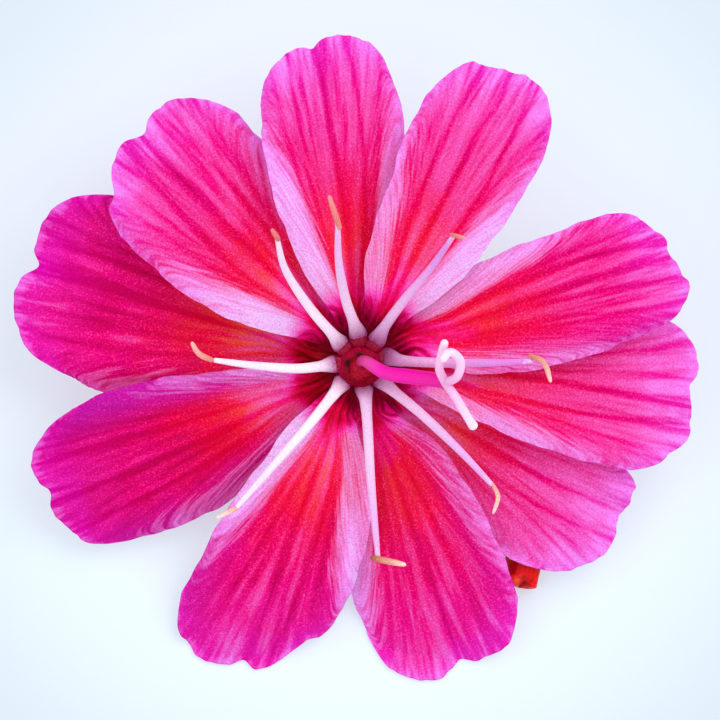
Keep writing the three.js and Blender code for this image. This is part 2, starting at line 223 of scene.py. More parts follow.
def corolla(x: Array, y: Array) -> Array:
    """The height of the petals' common level above the surface, mm."""
    rise = spline(BOWL_RISE, np.hypot(x, y) / BOWL_STEP / (len(BOWL_RISE) - 1))
    return THROAT_HEIGHT + y * math.tan(LEAN) + rise


def on_axis(height: float) -> tuple[float, float, float]:
    """A point on the flower's leaning axis, at a height above the petals' level, mm."""
    return (0.0, -height * math.sin(LEAN), THROAT_HEIGHT + height * math.cos(LEAN))


class Course:
    """A smooth curve through points, read by its length."""

    SAMPLES = 400

    def __init__(self, points: Points) -> None:
        """Samples the curve.

        Args:
            points: The points that the curve passes through, mm.
        """
        p = np.array(points, float)
        p = np.vstack([2 * p[0] - p[1], p, 2 * p[-1] - p[-2]])
        pieces = []
        each = max(2, self.SAMPLES // (len(p) - 3))
        for i in range(len(p) - 3):
            pieces.append(self._piece(p[i : i + 4], np.arange(each) / each))
        pieces.append(p[-2][None, :])
        self.places = np.vstack(pieces)
        steps = np.linalg.norm(np.diff(self.places, axis=0), axis=1)
        self.reach = np.concatenate([[0.0], np.cumsum(steps)])
        self.length = float(self.reach[-1])

    @staticmethod
    def _piece(p: Array, t: Array) -> Array:
        """One stretch between the middle two of four points, in even steps of t."""
        steps = np.diff(p, axis=0)
        a, b, c = (max(np.linalg.norm(step) ** 0.5, 1e-6) for step in steps)
        one = steps[0] / a - (p[2] - p[0]) / (a + b) + steps[1] / b
        two = steps[1] / b - (p[3] - p[1]) / (b + c) + steps[2] / c
        one, two, t = one * b, two * b, t[:, None]
        square = -3 * p[1] + 3 * p[2] - 2 * one - two
        cube = 2 * p[1] - 2 * p[2] + one + two
        return p[1] + one * t + square * t**2 + cube * t**3

    def at(self, f: Array) -> Array:
        """The points at parts f of the whole length, from 0 to 1."""
        reach = np.clip(f, 0, 1) * self.length
        return np.stack([np.interp(reach, self.reach, self.places[:, k]) for k in range(3)], -1)

    def frames(self, f: Array, level: bool) -> tuple[Array, Array]:
        """The two directions across the curve.

        Args:
            f: Parts of the whole length, in rising order.
            level: Keeps the first direction level and the second one upright, where True, and
                otherwise turns them as little as possible along the curve.

        Returns:
            The two directions at each place.
        """
        step = 0.002
        tangent = self.at(f + step) - self.at(f - step)
        tangent /= np.linalg.norm(tangent, axis=1)[:, None]
        if level:
            one = np.cross([0.0, 0.0, 1.0], tangent)
            one /= np.linalg.norm(one, axis=1)[:, None]
            return one, np.cross(tangent, one)
        one = np.empty_like(tangent)
        start = np.cross(tangent[0], [0.3, 0.2, 0.1])
        for k, direction in enumerate(tangent):
            start = start - direction * start.dot(direction)
            start /= np.linalg.norm(start)
            one[k] = start
        return one, np.cross(tangent, one)


# ---------- Making meshes ----------


def deselect() -> None:
    """Leaves nothing selected."""
    bpy.ops.object.select_all(action="DESELECT")


def select(*objects: bpy.types.Object) -> None:
    """Selects objects and nothing else, with the first one active."""
    deselect()
    for obj in objects:
        obj.select_set(True)
    bpy.context.view_layer.objects.active = objects[0]


def move_vertices(obj: bpy.types.Object, places: Array) -> None:
    """Puts a mesh's vertices at places in mm on the flower's axis."""
    world = (places + np.array([AXIS[0], AXIS[1], 0.0])) * MM
    obj.data.vertices.foreach_set("co", world.astype(np.float32).ravel())
    obj.data.update()


def vertices_of(obj: bpy.types.Object) -> Array:
    """A mesh's vertex places, as they are."""
    places = np.empty(len(obj.data.vertices) * 3, np.float32)
    obj.data.vertices.foreach_get("co", places)
    return places.reshape(-1, 3).astype(float)


def paint(obj: bpy.types.Object, **fields: Array) -> None:
    """Keeps one number, or three, for every vertex as named attributes of the mesh."""
    for name, values in fields.items():
        kind, key = ("FLOAT", "value") if values.ndim == 1 else ("FLOAT_VECTOR", "vector")
        attribute = obj.data.attributes.new(name, kind, "POINT")
        attribute.data.foreach_set(key, values.astype(np.float32).ravel())


def smooth(obj: bpy.types.Object) -> None:
    """Shades an object smooth."""
    select(obj)
    bpy.ops.object.shade_smooth()


def add_sheet(name: str, rows: int, columns: int) -> tuple[bpy.types.Object, Array, Array]:
    """Adds a flat grid that becomes a blade.

    Args:
        name: The piece's name.
        rows: Faces along it.
        columns: Faces across it.

    Returns:
        The object, and each vertex's place along it (0 to 1) and across it (-1 to 1).
    """
    deselect()
    bpy.ops.mesh.primitive_grid_add(
        x_subdivisions=columns, y_subdivisions=rows, size=2.0, calc_uvs=True, location=(0, 0, 0)
    )
    obj = bpy.context.object
    obj.name = obj.data.name = name
    flat = vertices_of(obj)
    return obj, (flat[:, 1] + 1) / 2, -flat[:, 0]


def thicken(obj: bpy.types.Object, thickness: float, fullness: Array, thin: float) -> None:
    """Gives a sheet its thickness, thinner towards its margin.

    Args:
        obj: The sheet.
        thickness: Its full thickness, mm.
        fullness: For each vertex, 1 where it has that thickness and 0 where it is thinnest.
        thin: The thinnest part's share of the full thickness.
    """
    group = obj.vertex_groups.new(name="fullness")
    for level in range(11):
        members = np.flatnonzero(np.round(fullness * 10) == level)
        if len(members):
            group.add(members.tolist(), level / 10, "REPLACE")
    solidify = obj.modifiers.new("thickness", "SOLIDIFY")
    solidify.thickness = thickness * MM
    solidify.offset = 0.0
    solidify.vertex_group = group.name
    solidify.thickness_vertex_group = thin
    select(obj)
    bpy.ops.object.modifier_apply(modifier=solidify.name)
    obj.vertex_groups.clear()


def add_rod(
    name: str,
    course: Course,
    radius: Callable[[Array], Array],
    sides: int,
    rings: int,
    section: Callable[[Array, Array], Array] | None = None,
    squash: float = 1.0,
    roundness: float = 1.0,
    level: bool = False,
) -> tuple[bpy.types.Object, Array, Array]:
    """Stretches a sphere along a curve into a rod with round, closed ends.

    Args:
        name: The piece's name.
        course: The curve that it follows.
        radius: The rod's radius in mm at parts of its length.
        sides: Faces round it.
        rings: Rings of faces along it.
        section: How far the section departs from a circle, as a factor at (part, angle).
        squash: The section's height over its width, where it is kept level.
        roundness: How round its ends are, from 1 for half a ball down to 0 for flat.
        level: Keeps the section upright, as a squashed one always is.

    Returns:
        The object, and each vertex's part of the length and angle round the rod.
    """
    deselect()
    bpy.ops.mesh.primitive_uv_sphere_add(
        segments=sides, ring_count=rings, radius=1.0, calc_uvs=True, location=(0, 0, 0)
    )
    obj = bpy.context.object
    obj.name = obj.data.name = name
    ball = vertices_of(obj)
    polar = np.arccos(np.clip(-ball[:, 2], -1, 1)) / math.pi
    angle = np.arctan2(ball[:, 1], ball[:, 0])
    crowded = (1 - np.cos(polar * math.pi)) / 2
    part = lerp(polar, crowded, 0.7)
    wide = radius(part)
    cap = np.minimum(part, 1 - part) * course.length / np.maximum(wide * roundness, 1e-3)
    cap = np.clip(cap, 0, 1)
    wide = wide * np.sqrt(1 - (1 - cap) ** 2)
    if section:
        wide = wide * section(part, angle)
    levels, back = np.unique(np.round(part, 7), return_inverse=True)
    one, two = course.frames(levels, level or squash != 1.0)
    one, two, places = one[back], two[back], course.at(levels)[back]
    places = places + one * (wide * np.cos(angle))[:, None]
    places = places + two * (wide * squash * np.sin(angle))[:, None]
    move_vertices(obj, places)
    smooth(obj)
    return obj, part, angle


def table(pairs: Sequence[tuple[float, float]]) -> Callable[[Array], Array]:
    """A function that goes straight from one (place, value) pair to the next."""
    places, values = zip(*pairs)
    return lambda f: np.interp(f, places, values)


# ---------- Finishes ----------


def shades(places: Sequence[float], codes: str) -> Stops:
    """Pairs the places along a run of colour with its hex codes, given as one string."""
    return tuple(zip(places, codes.split(), strict=True))


class Graph:
    """The node tree of a material or a world, emptied and built up socket by socket."""

    def __init__(self, owner: bpy.types.Material | bpy.types.World) -> None:
        """Takes over the owner's tree."""
        owner.use_nodes = True
        self.tree = owner.node_tree
        self.tree.nodes.clear()

    def read(self, name: str) -> Socket:
        """A number that is painted on the piece."""
        return add_node(self.tree, "Attribute", attribute_name=name).outputs["Fac"]

    def read_place(self, name: str) -> Socket:
        """Three numbers that are painted on the piece."""
        return add_node(self.tree, "Attribute", attribute_name=name).outputs["Vector"]

    def here(self) -> Socket:
        """The place on the object, in metres."""
        return add_node(self.tree, "TexCoord").outputs["Object"]

    def noise(self, place: Socket, scale: float, detail: float = 3.0, rough: float = 0.5) -> Socket:
        """An uneven field from 0 to 1, mostly near 0.5."""
        values = {"Vector": place, "Scale": scale, "Detail": detail, "Roughness": rough}
        return add_node(self.tree, "TexNoise", values).outputs["Fac"]

    def streaks(self, place: Socket, across: float, along: float) -> Socket:
        """A noise drawn out along its second direction."""
        values = {"Vector": place, "Scale": (across, along, 1.0)}
        return self.noise(add_node(self.tree, "Mapping", values).outputs[0], 1.0)

    def remap(
        self, value: Socket, start: Span = (0, 1), end: Span = (0, 1), **settings: Any
    ) -> Socket:
        """Carries a value from one span to another, held within the second one."""
        names = ("From Min", "From Max", "To Min", "To Max")
        values = {"Value": value, **dict(zip(names, (*start, *end)))}
        return add_node(self.tree, "MapRange", values, **settings).outputs[0]

    def maths(self, operation: str, a: Value, b: Value, clamp: bool = False) -> Socket:
        """Works out one number from two."""
        values = {0: a, 1: b}
        return add_node(
            self.tree, "Math", values, operation=operation, use_clamp=clamp
        ).outputs[0]

    def mix(self, factor: Value, a: Value, b: Value, **settings: Any) -> Socket:
        """Goes from one colour to another, or from number to number, by a factor."""
        settings = {"data_type": "RGBA", **settings}
        values = {"Factor": factor, "A": a, "B": b}
        return add_node(self.tree, "Mix", values, **settings).outputs["Result"]

    def ramp(self, at: Socket, stops: Stops) -> Socket:
        """Reads a run of colour."""
        return add_node(self.tree, "ValToRGB", {"Fac": at}, stops).outputs[0]

    def bump(self, height: Socket, strength: float, distance: float) -> Socket:
        """Tilts the surface as if it rose and fell by a distance in mm."""
        values = {"Height": height, "Strength": strength, "Distance": distance * MM}
        return add_node(self.tree, "Bump", values).outputs[0]

    def finish(self, values: dict[str, Any]) -> None:
        """Makes the surface from the shader's values."""
        shader = add_node(self.tree, "BsdfPrincipled", values)
        add_node(self.tree, "OutputMaterial", {"Surface": shader.outputs[0]})


@dataclass(frozen=True)
class PetalTissue:
    """Thin living petal: translucent, satin, with a papillate skin.

    The skin's cells are each a tiny dome about 0.1 mm across, and the fine glints on them are
    painted highlights, pale pink specks laid on the colour; the pigment is deepest along the
    veins and reddest at the base.
    """

    name: str = "petal_tissue"
    # In these three runs the lighter band at 0.14 to 0.2 is a painted highlight where the blade
    # bends down into the throat; the rest is the tissue's own colour.
    between_veins: Stops = shades(
        PETAL_PLACES,
        "#880428 #B40850 #E00880 #FA54CC #F670CC #EC5898 "
        "#EC3C86 #E8469E #E84EA8 #E85EBC #EC78DA #EC80E2",
    )
    beside_veins: Stops = shades(
        PETAL_PLACES,
        "#740008 #B00422 #DC0046 #F4067E #F00476 #EA0041 "
        "#E6004A #E00062 #E00078 #E2108C #E018A2 #E024B0",
    )
    along_veins: Stops = shades(
        PETAL_PLACES,
        "#5A0004 #8C000C #B80026 #D8004A #E2005E #DC0030 "
        "#D20032 #C00048 #BC0054 #C20068 #C80088 #CC0498",
    )
    at_margin: Stops = shades(
        (0.0, 0.06, 0.1, 0.14, 0.2, 0.3, 0.42, 0.56, 0.7, 0.84, 1.0),
        "#840020 #AC1060 #CC3890 #E46CBC #EC8CD6 "
        "#EAA6E4 #ECAEEC #ECA4EE #EE98F0 #F296F6 #F28EF4",
    )
    base_glow: str = "#F4702C"
    frost: str = "#E2CCF8"
    # Painted shade: the purple of a side that lies over a neighbour, where two layers let less
    # light through.
    overlap_shade: str = "#B416A2"
    # Painted highlight: the colour of the glints on the skin's cells.
    painted_glint: str = "#FF9CD0"
    speck: str = "#5A0018"
    papilla: float = 0.095  # width of one cell's dome, mm
    papilla_height: float = 0.03  # mm
    painted_glint_strength: float = 0.48
    roughness: float = 0.52

    def _fibre(self, graph: Graph, tone: Socket, lie: Socket) -> Socket:
        """Fine fibres that fan out with the veins, coarse at the base and forking to 0.2 mm
        apart, and beside the fan those that sweep out to the margins."""
        coarse, fine = graph.streaks(lie, 1.9, 0.5), graph.streaks(lie, 5.5, 0.35)
        swept = graph.streaks(graph.read_place("barb"), 1.3, 0.5)
        fibre = graph.mix(graph.remap(tone, (0.15, 0.6)), coarse, fine, data_type="FLOAT")
        return graph.mix(graph.read("side"), fibre, swept, data_type="FLOAT")

    def _margin(self, graph: Graph, fibre: Socket) -> tuple[Socket, Socket]:
        """How pale and how frosted the margin is.

        Its pale zone breaks up into streaks along the fibres, and the veins keep their colour
        where they cross it.

        Args:
            graph: The material's tree.
            fibre: The petal's fibres.

        Returns:
            The paleness and the frost.
        """
        margin = graph.read("margin")
        ragged = graph.remap(fibre, MIDDLE, (0.24, -0.24))
        ragged = graph.maths("MULTIPLY", ragged, graph.remap(margin, (0.0, 0.2)))
        pale = graph.maths("ADD", margin, ragged)
        pale = graph.maths("SUBTRACT", pale, graph.maths("MULTIPLY", graph.read("vein"), 0.5))
        return graph.remap(pale, (0.15, 1.0)), graph.remap(pale, (0.9, 1.5), (0.0, 0.9))

    def _speck(self, graph: Graph, lie: Socket) -> Socket:
        """A few dark specks of grit, about 0.15 mm across and 3 mm apart."""
        values = {"Vector": lie, "Scale": 0.3}
        spots = add_node(graph.tree, "TexVoronoi", values, feature="F1").outputs
        chosen = add_node(graph.tree, "SeparateColor", {"Color": spots["Color"]}).outputs[0]
        near = graph.remap(spots["Distance"], (0.02, 0.035), (1.0, 0.0))
        return graph.maths("MULTIPLY", near, graph.maths("GREATER_THAN", chosen, 0.8))

    def material(self) -> bpy.types.Material:
        """Makes the material, which reads each petal's painted attributes.

        Returns:
            The material.
        """
        made = bpy.data.materials.new(self.name)
        graph = Graph(made)
        opened, lie = graph.read("tone"), graph.read_place("lie")
        fibre = self._fibre(graph, opened, lie)
        cells = graph.noise(graph.here(), 1 / (self.papilla * MM), rough=0.65)

        shift = graph.remap(graph.noise(lie, 0.55, 2.0), MIDDLE, (-0.05, 0.05))
        tone = graph.maths("ADD", opened, shift, clamp=True)
        pale_run, middle_run, deep_run, rim = (
            graph.ramp(tone, run)
            for run in (self.between_veins, self.beside_veins, self.along_veins, self.at_margin)
        )

        # The pigment takes away green first, then blue and red, so it goes through three runs.
        gain = graph.remap(fibre, MIDDLE, (-0.23, 0.23))
        pigment = graph.maths("ADD", graph.read("pigment"), gain, clamp=True)
        blend = graph.mix(graph.remap(pigment, (0.0, 0.5)), pale_run, middle_run)
        blend = graph.mix(graph.remap(pigment, (0.5, 1.0)), blend, deep_run)
        unpigmented = graph.maths("SUBTRACT", 1.0, pigment)

        fleck = graph.remap(fibre, (0.42, 0.62), (0.0, 1.3))
        fleck = graph.maths("MULTIPLY", fleck, unpigmented)
        glow = graph.maths("MULTIPLY", graph.read("warm"), fleck, clamp=True)
        blend = graph.mix(glow, blend, colour(self.base_glow))
        # Painted shade where the petal lies over its neighbour.
        blend = graph.mix(graph.read("under"), blend, colour(self.overlap_shade))

        pale, frosted = self._margin(graph, fibre)
        blend = graph.mix(pale, blend, graph.mix(frosted, rim, colour(self.frost)))

        grain = graph.remap(cells, (0.35, 0.65), (0.8, 1.2), clamp=False)
        blend = graph.mix(1.0, blend, grain, blend_type="MULTIPLY")
        # Painted highlight: the glints start where the blade opens out of the claw.
        bare = graph.maths("SUBTRACT", unpigmented, pale, clamp=True)
        bare = graph.maths("MULTIPLY", bare, graph.remap(opened, (0.1, 0.2)))
        glint = graph.remap(cells, (0.56, 0.74), (0.0, self.painted_glint_strength))
        blend = graph.mix(graph.maths("MULTIPLY", glint, bare), blend, colour(self.painted_glint))

        graph.finish(
            {
                "Base Color": graph.mix(self._speck(graph, lie), blend, colour(self.speck)),
                "Roughness": graph.remap(
                    cells, end=(self.roughness - 0.12, self.roughness + 0.12)
                ),
                "Normal": graph.bump(cells, 0.45, self.papilla_height),
                "IOR": TISSUE_IOR,
                "Specular IOR Level": 0.03,
                "Subsurface Weight": 0.3,
                "Subsurface Radius": (1.0, 0.25, 0.6),
                "Subsurface Scale": 0.6 * MM,
            }
        )
        return made


@dataclass(frozen=True)
class SoftTissue:
    """Juicy plant tissue: a smooth, faintly waxy skin whose colour changes along the piece.

    It reads the attribute "along", 0 at the piece's root and 1 at its tip, and "fade", how far
    the piece takes the second run of colours.
    """

    name: str
    run: Stops
    second: Stops
    cell: float = 0.1  # width of one cell, mm
    mottle: float = 0.1
    drift: float = 0.035  # how far the colours stray along the piece
    relief: float = 0.02  # height of the cells, mm
    roughness: float = 0.4
    subsurface: float = 0.2
    gloss: float = 0.4

    def material(self) -> bpy.types.Material:
        """Makes the material.

        Returns:
            The material.
        """
        made = bpy.data.materials.new(self.name)
        graph = Graph(made)
        cells = graph.noise(graph.here(), 1 / (self.cell * MM))
        drift = graph.remap(cells, MIDDLE, (-self.drift, self.drift))
        place = graph.maths("ADD", graph.read("along"), drift, clamp=True)
        first, other = graph.ramp(place, self.run), graph.ramp(place, self.second)
        blend = graph.mix(graph.read("fade"), first, other)
        shade = graph.remap(cells, MIDDLE, (1 - self.mottle, 1 + self.mottle))
        graph.finish(
            {
                "Base Color": graph.mix(1.0, blend, shade, blend_type="MULTIPLY"),
                "Roughness": graph.remap(
                    cells, end=(self.roughness - 0.1, self.roughness + 0.1)
                ),
                "Normal": graph.bump(cells, 0.6, self.relief),
                "IOR": TISSUE_IOR,
                "Specular IOR Level": self.gloss,
                "Subsurface Weight": self.subsurface,
                "Subsurface Radius": (1.0, 0.4, 0.7),
                "Subsurface Scale": 0.3 * MM,
            }
        )
        return made


# Filament: clear, waxy tissue, nearly white where the light passes, mauve where it leaves the
# throat. The second run is that of the stamens that take up more of the petals' lilac.
FILAMENT_TISSUE = SoftTissue(
    "filament_tissue",
    run=shades(
        (0.0, 0.05, 0.075, 0.105, 0.15, 0.24, 0.45, 0.8, 1.0),
        "#84001C #A00034 #B82868 #D278B2 #E6B0DC #F6E0F4 #FAECFA #F4E0F8 #F6E4FA",
    ),
    second=shades(
        (0.0, 0.05, 0.075, 0.115, 0.18, 0.28, 0.45, 0.8, 0.93, 1.0),
        "#84001C #9C0034 #A82064 #B85898 #C880BC "
        "#D89CD0 #E6ACDE #DC84DC #D678D6 #E8B8E8",
    ),
    cell=0.09, mottle=0.12, roughness=0.42, subsurface=0.3, gloss=0.22,
)

# Anther: a dry, matte pollen sac, tan with a cream end, grainy with pollen 0.06 mm across.
POLLEN_SAC = SoftTissue(
    "pollen_sac",
    run=shades((0.0, 0.25, 0.55, 0.85, 1.0), "#904430 #C47C60 #E0A48C #F6D0BC #FCEEE8"),
    second=shades((0.0, 0.3, 0.7, 1.0), "#EC9C90 #E47C78 #E46C74 #EC687C"),
    cell=0.06, mottle=0.22, relief=0.04, roughness=0.75, subsurface=0.1, gloss=0.2,
)

# Ovary and its ring: deep red, wet-looking tissue. Its second run, near black, is painted shade
# in the groove and pits between the ovary and its ring and in the seams between its lobes.
OVARY_WALL = SoftTissue(
    "ovary_wall",
    run=shades(
        (0.0, 0.5, 0.7, 0.8, 0.9, 1.0), "#7A0018 #A00030 #B4003C #9C001C #980018 #B00430"
    ),
    second=shades((0.0, 0.5, 1.0), "#140004 #180002 #2C0004"),
    cell=0.13, mottle=0.5, relief=0.05, roughness=0.5, gloss=0.15,
)

# Style: clean, turgid tissue, the flower's brightest magenta.
STYLE_TISSUE = SoftTissue(
    "style_tissue",
    run=shades(
        (0.0, 0.12, 0.22, 0.36, 0.6, 1.0), "#98083C #C02468 #E048A0 #F01CB0 #F000A8 #EC009C"
    ),
    second=shades((0.0, 1.0), "#F000A8 #F000A8"),
    mottle=0.05, roughness=0.35, subsurface=0.25,
)

# Stigma: velvety with papillae, pale pink and nearly white at its tips.
STIGMA_PAPILLAE = SoftTissue(
    "stigma_papillae",
    run=shades((0.0, 0.2, 0.6, 1.0), "#F0A8D8 #F4BCE4 #F8D0EE #FAE6F6"),
    second=shades((0.0, 1.0), "#F0A0DC #F4B4E6"),
    cell=0.07, mottle=0.08, relief=0.04, roughness=0.6, subsurface=0.35, gloss=0.25,
)

# Sepal: firm, leaf-like tissue, green at its base under a red flush.
SEPAL_TISSUE = SoftTissue(
    "sepal_tissue",
    run=shades((0.0, 0.3, 0.6, 1.0), "#6E7C34 #8C5238 #A23448 #B82C5C"),
    second=shades((0.0, 1.0), "#7C1C30 #A82850"),
    cell=0.14, mottle=0.14, relief=0.03, roughness=0.5, subsurface=0.12,
)

# Stem: fleshy red skin, with a wet, torn cut end. Its second run is a painted highlight, paler
# and orange, on the raised ridges of its upper side and on one side of the cut end, and its run
# darkens, as painted shade, before the cut end where the stem passes under the petals.
STEM_SKIN = SoftTissue(
    "stem_skin",
    run=shades(
        (0.0, 0.05, 0.3, 0.8, 0.92, 0.96, 1.0),
        "#3C0010 #780818 #B00814 #C0000C #B40008 #E00008 #E8000C",
    ),
    second=shades((0.0, 0.3, 0.9, 1.0), "#5A0814 #C82C20 #D83020 #F45C38"),
    cell=0.16, mottle=0.12, relief=0.03, gloss=0.22,
)


# ---------- The pieces ----------


def finish_piece(
    obj: bpy.types.Object, material: bpy.types.Material, node: str
) -> None:
    """Dresses a piece, lets it stand for its node and makes it move with the part.

    Args:
        obj: The finished piece.
        material: What it is dressed in.
        node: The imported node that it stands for.
    """
    obj.data.materials.clear()
    obj.data.materials.append(material)
    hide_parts(node)
    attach(obj, "root")
    log.info("%s: %d faces, %s", obj.name, len(obj.data.polygons), material.name)


@dataclass
class Margin:
    """The pale zone beside a petal's fan of veins: how strong it is near the base and at the
    tip, and where it starts, where 1 is the fan's outermost vein."""

    base: float
    tip: float
    start: float = 0.85


@dataclass
class Petal:
    """One petal: its outline, its place over or under its neighbours and its markings."""

    number: int
    azimuth: float
    cw: tuple[float, ...]  # half-widths at even steps from the claw to the shoulder
    ccw: tuple[float, ...]
    tip: tuple[float, ...]  # reach from the flower's axis at even steps across the tip
    notches: Pairs  # place across and depth
    level: Span  # of the whole blade, at the claw and at the tip
    twist: Span  # how far the ccw edge rises and the cw edge falls
    droop: float
    pale_cw: Margin
    pale_ccw: Margin
    veins: tuple[tuple[float, float, float], ...]  # place at 0.4 and 0.9 of its length, strength
    warmth: float = 0.5
    richness: float = 0.1  # how much deeper its colour is than the palest petal's
    depth: float = 0.68  # how much more the veins hold than what lies between them
    base_painted_light: float = 0.0  # painted light: how much less pigment it holds near its base, lightening a base that its neighbours shade
    flush: tuple[float, float, float] = (0.3, 0.0, 0.0)  # place along and across, strength
    shift: float = 0.0  # of the petal's colours towards its tip
    overlap_shade_cw: float = 0.0  # painted shade: how dark and purple the cw side is where it lies over its neighbour
    overlap_shade_ccw: float = 0.0
    fan_base: float = 0.2  # the fan's half-width at the claw, mm
    fan_tip: float = 0.9  # and at the tip, as a part of the petal's
    touches: bool = False  # its tip lies on the surface
    rows: int = 150
    columns: int = 96
    thickness: float = 0.24
    thin: float = 0.45  # its margin's share of that
    inner: float = -0.06  # how far inwards of the claw the petal goes on, as a part of its length

    @property
    def name(self) -> str:
        """The petal's own name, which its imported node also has."""
        return f"petal_{self.number:02d}"

    def spread(self, s: Array, x: Array) -> tuple[Array, Array, Array]:
        """Lays the petal out from above.

        Args:
            s: Places along it.
            x: Places across it.

        Returns:
            The distance along it and across it in mm, and the crowded place across it.
        """
        t = 0.6 * np.sin(x * math.pi / 2) + 0.4 * x
        half = np.where(t < 0, spline(self.cw, s), spline(self.ccw, s))
        end_half = np.where(t < 0, self.cw[-1], self.ccw[-1])
        rng = np.random.default_rng(100 + self.number)
        reach = spline(self.tip, (x + 1) / 2)
        for place, depth in self.notches:
            reach = reach - depth * hump(t * end_half, place, NOTCH_WIDTH)
        for waves in TIP_WAVES:
            depth, phase = TIP_WAVE / waves**0.75, rng.uniform(0, TURN)
            reach = reach + depth * np.sin(waves * x * 2.2 + phase) * (1 - x**4)
        along = lerp(CLAW_RADIUS, reach, s)
        half = half + CLAW_FLARE * hump(along, 2.1, 0.9)
        for waves in SIDE_WAVES:
            depth, phase = SIDE_WAVE / waves, rng.uniform(0, TURN, 2)
            wave = np.sin(waves * s * 6 + np.where(t < 0, *phase))
            half = half + depth * wave * smoothstep(s, 0.1, 0.4)
        return along, t * half, t

    def surface(self, s: Array, x: Array, veins: Array) -> tuple[Array, Array]:
        """The petal's middle surface.

        Args:
            s: Places along it.
            x: Places across it.
            veins: How strongly a vein runs through each place.

        Returns:
            The places in mm, and their (across, along, petal) coordinates on the petal in mm.
        """
        along, across, t = self.spread(s, x)
        claw = CLAW_TURN + CLAW_SPACING * (self.number - 1)
        turn = np.radians(lerp(claw, self.azimuth, smoothstep(along, CLAW_RADIUS, BLADE_RADIUS)))
        px, py = turned(along, across, turn)
        opened = smoothstep(along, CLAW_RADIUS, FULL_RADIUS)
        level, twist = lerp(*self.level, s) * opened, lerp(*self.twist, s) * opened
        droop = self.droop * np.maximum(0, (s - DROOP_START) / (1 - DROOP_START)) ** 2
        pleat = PLEAT_DEPTH * np.cos(PLEATS * math.pi * x) * smoothstep(s, 0.15, 0.5)
        ruffle = RUFFLE * np.sin(2.5 * math.pi * x + self.azimuth) * np.maximum(s, 0) ** 4
        height = corolla(px, py) + level + twist * t - droop + pleat + ruffle
        # The finer form: veins lie in shallow furrows, and the blade swells between them.
        height = height - FURROW * veins * smoothstep(s, 0.08, 0.3)
        rng = np.random.default_rng(200 + self.number)
        for _ in range(SWELLS):
            fx, fs, phase = rng.uniform(1.5, 5.0), rng.uniform(2.0, 8.0), rng.uniform(0, TURN)
            swell = np.sin(fx * x * 2 + fs * s + phase)
            height = height + SWELL * swell * smoothstep(s, 0.1, 0.5)
        tip_wave = np.sin(9 * x + rng.uniform(0, TURN))
        tip_wave = tip_wave + 0.6 * np.sin(17 * x + rng.uniform(0, TURN))
        height = height + TIP_CURL * tip_wave * np.maximum(s, 0) ** 8
        if self.touches:
            height = height - (SOLID_HALF - self.thickness / 2) * smoothstep(s, 0.7, 1.0)
        height = np.maximum(height, self.thickness * 0.52)
        petal = np.full_like(across, 7.3 * self.number)
        lie = np.stack([1.7 * self.fan(s, across)[0], along, petal], -1)
        return np.stack([px, py, height], -1), lie

    def fan(self, s: Array, across: Array) -> tuple[Array, Array]:
        """Where each place lies in the fan of veins, which opens from the claw to the tip.

        Args:
            s: Places along the petal.
            across: Distances across it in mm.

        Returns:
            0 on the midrib, 1 at the fan's outermost vein and more in the margin beside it, and
            the fan's own half-width there in mm.
        """
        end = np.where(across < 0, self.cw[-1], self.ccw[-1])
        width = lerp(self.fan_base, self.fan_tip * end, np.clip((s - 0.06) / 0.94, 0, 1))
        return across / width, width

    @staticmethod
    def sweep(s: Array, away: Array) -> Array:
        """How far out of the fan a barb has swept, a part `away` of the length from its root."""
        return BARB_SWEEP * away**BARB_CURVE / (BARB_EASE + s)

    def barbs(self, s: Array, across: Array) -> Array:
        """Coordinates in the margins that follow the barbs: across them, along them, petal."""
        q, _ = self.fan(s, across)
        out = np.maximum(np.abs(q) - FAN_EDGE, 0)
        away = (out * (BARB_EASE + s) / BARB_SWEEP) ** (1 / BARB_CURVE)
        return np.stack([14 * (s - away), 14 * away + 5, 9.1 * self.number + 3 * np.sign(q)], -1)

    def vein_field(self, s: Array, across: Array) -> Array:
        """How strongly a vein runs through each place.

        A few bold veins rise from the claw and fork on their way out, the outer ones send
        branches into the margins like the barbs of a feather, and fine veinlets lie between.

        Args:
            s: Places along the petal.
            across: Distances across it in mm.

        Returns:
            0 between the veins and 1 on the boldest one.
        """
        rng = np.random.default_rng(300 + self.number)
        q, width = self.fan(s, across)
        drawn = np.zeros_like(s)

        def draw(centre: Array, strength: Array | float, core: Array | float) -> None:
            """Draws one vein, with its soft halo, where its centre goes."""
            away = np.abs(q - centre) * width
            line = 0.6 * hump(away, 0, core) + 0.4 * hump(away, 0, core * HALO)
            np.maximum(drawn, strength * line, out=drawn)

